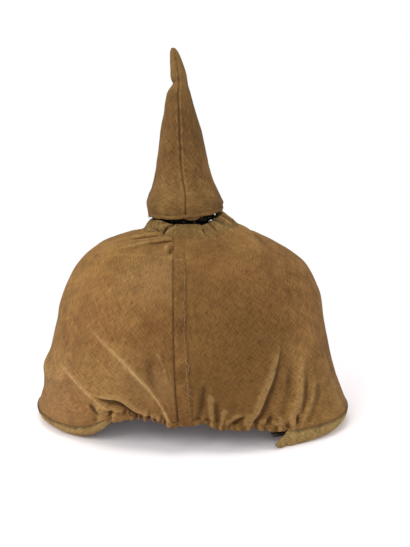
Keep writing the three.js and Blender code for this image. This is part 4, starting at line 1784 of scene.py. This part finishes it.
PANEL_STAINS = (
    Stain((0.030, -0.090, 0.080), 0.070, 0.75),
    Stain((0.026, -0.092, 0.036), 0.075, 0.85),
    Stain((-0.029, -0.090, 0.073), 0.030, 0.5),
    Stain((0.020, -0.045, 0.155), 0.030, 0.8),
    Stain((-0.100, -0.050, 0.030), 0.060, -0.5),
    Stain((-0.045, -0.085, 0.052), 0.045, -0.3),
    Stain((-0.018, -0.092, 0.050), 0.022, -0.35),
    Stain((-0.030, -0.070, 0.133), 0.040, -0.5),
    Stain((0.055, -0.075, 0.105), 0.055, 0.75),
    Stain((0.012, -0.070, 0.135), 0.045, 0.45),
)

SEAM_STAINS = (
    Stain((-0.006, -0.087, 0.120), 0.011, 0.9),
    Stain((-0.006, -0.090, 0.097), 0.012, 0.9),
    Stain((-0.005, -0.093, 0.062), 0.010, 0.7),
)

SPIKE_STAINS = (
    Stain((0.000, -0.015, 0.240), 0.045, 0.9),
    Stain((-0.012, -0.015, 0.215), 0.030, 0.4),
    Stain((-0.013, -0.004, 0.292), 0.022, -0.25),
)


def main() -> None:
    """Builds the helmet and its studio round the frame."""
    logging.basicConfig(level=logging.INFO, format="%(name)s: %(message)s")
    cotton = Cotton("khaki_cotton", stains=PANEL_STAINS).make()
    seam_cotton = Cotton("seam_cotton", (0.192, 0.097, 0.031), (0.105, 0.050, 0.017), SEAM_STAINS).make()
    band_cotton = Cotton("band_cotton", (0.300, 0.202, 0.080), (0.212, 0.135, 0.050)).make()
    collar_cotton = Cotton("collar_cotton", (0.172, 0.103, 0.038), (0.112, 0.064, 0.021)).make()
    spike_cotton = Cotton("spike_cotton", (0.200, 0.110, 0.040), (0.100, 0.049, 0.016), SPIKE_STAINS).make()
    pale_thread = Thread("pale_thread", (0.36, 0.22, 0.10)).make()
    dark_thread = Thread("dark_thread", (0.10, 0.065, 0.027)).make()
    form = CoverForm()
    CrownCover(form, cotton, seam_cotton, band_cotton, pale_thread, dark_thread).build()
    NeckCasing(form, collar_cotton).build()
    SpikeCover(spike_cotton, dark_thread).build()
    LeatherHelmet(Leather("black_leather").make(), BlackenedMetal("blackened_metal").make()).build()
    Studio().build()


if __name__ == "__main__":
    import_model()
    main()
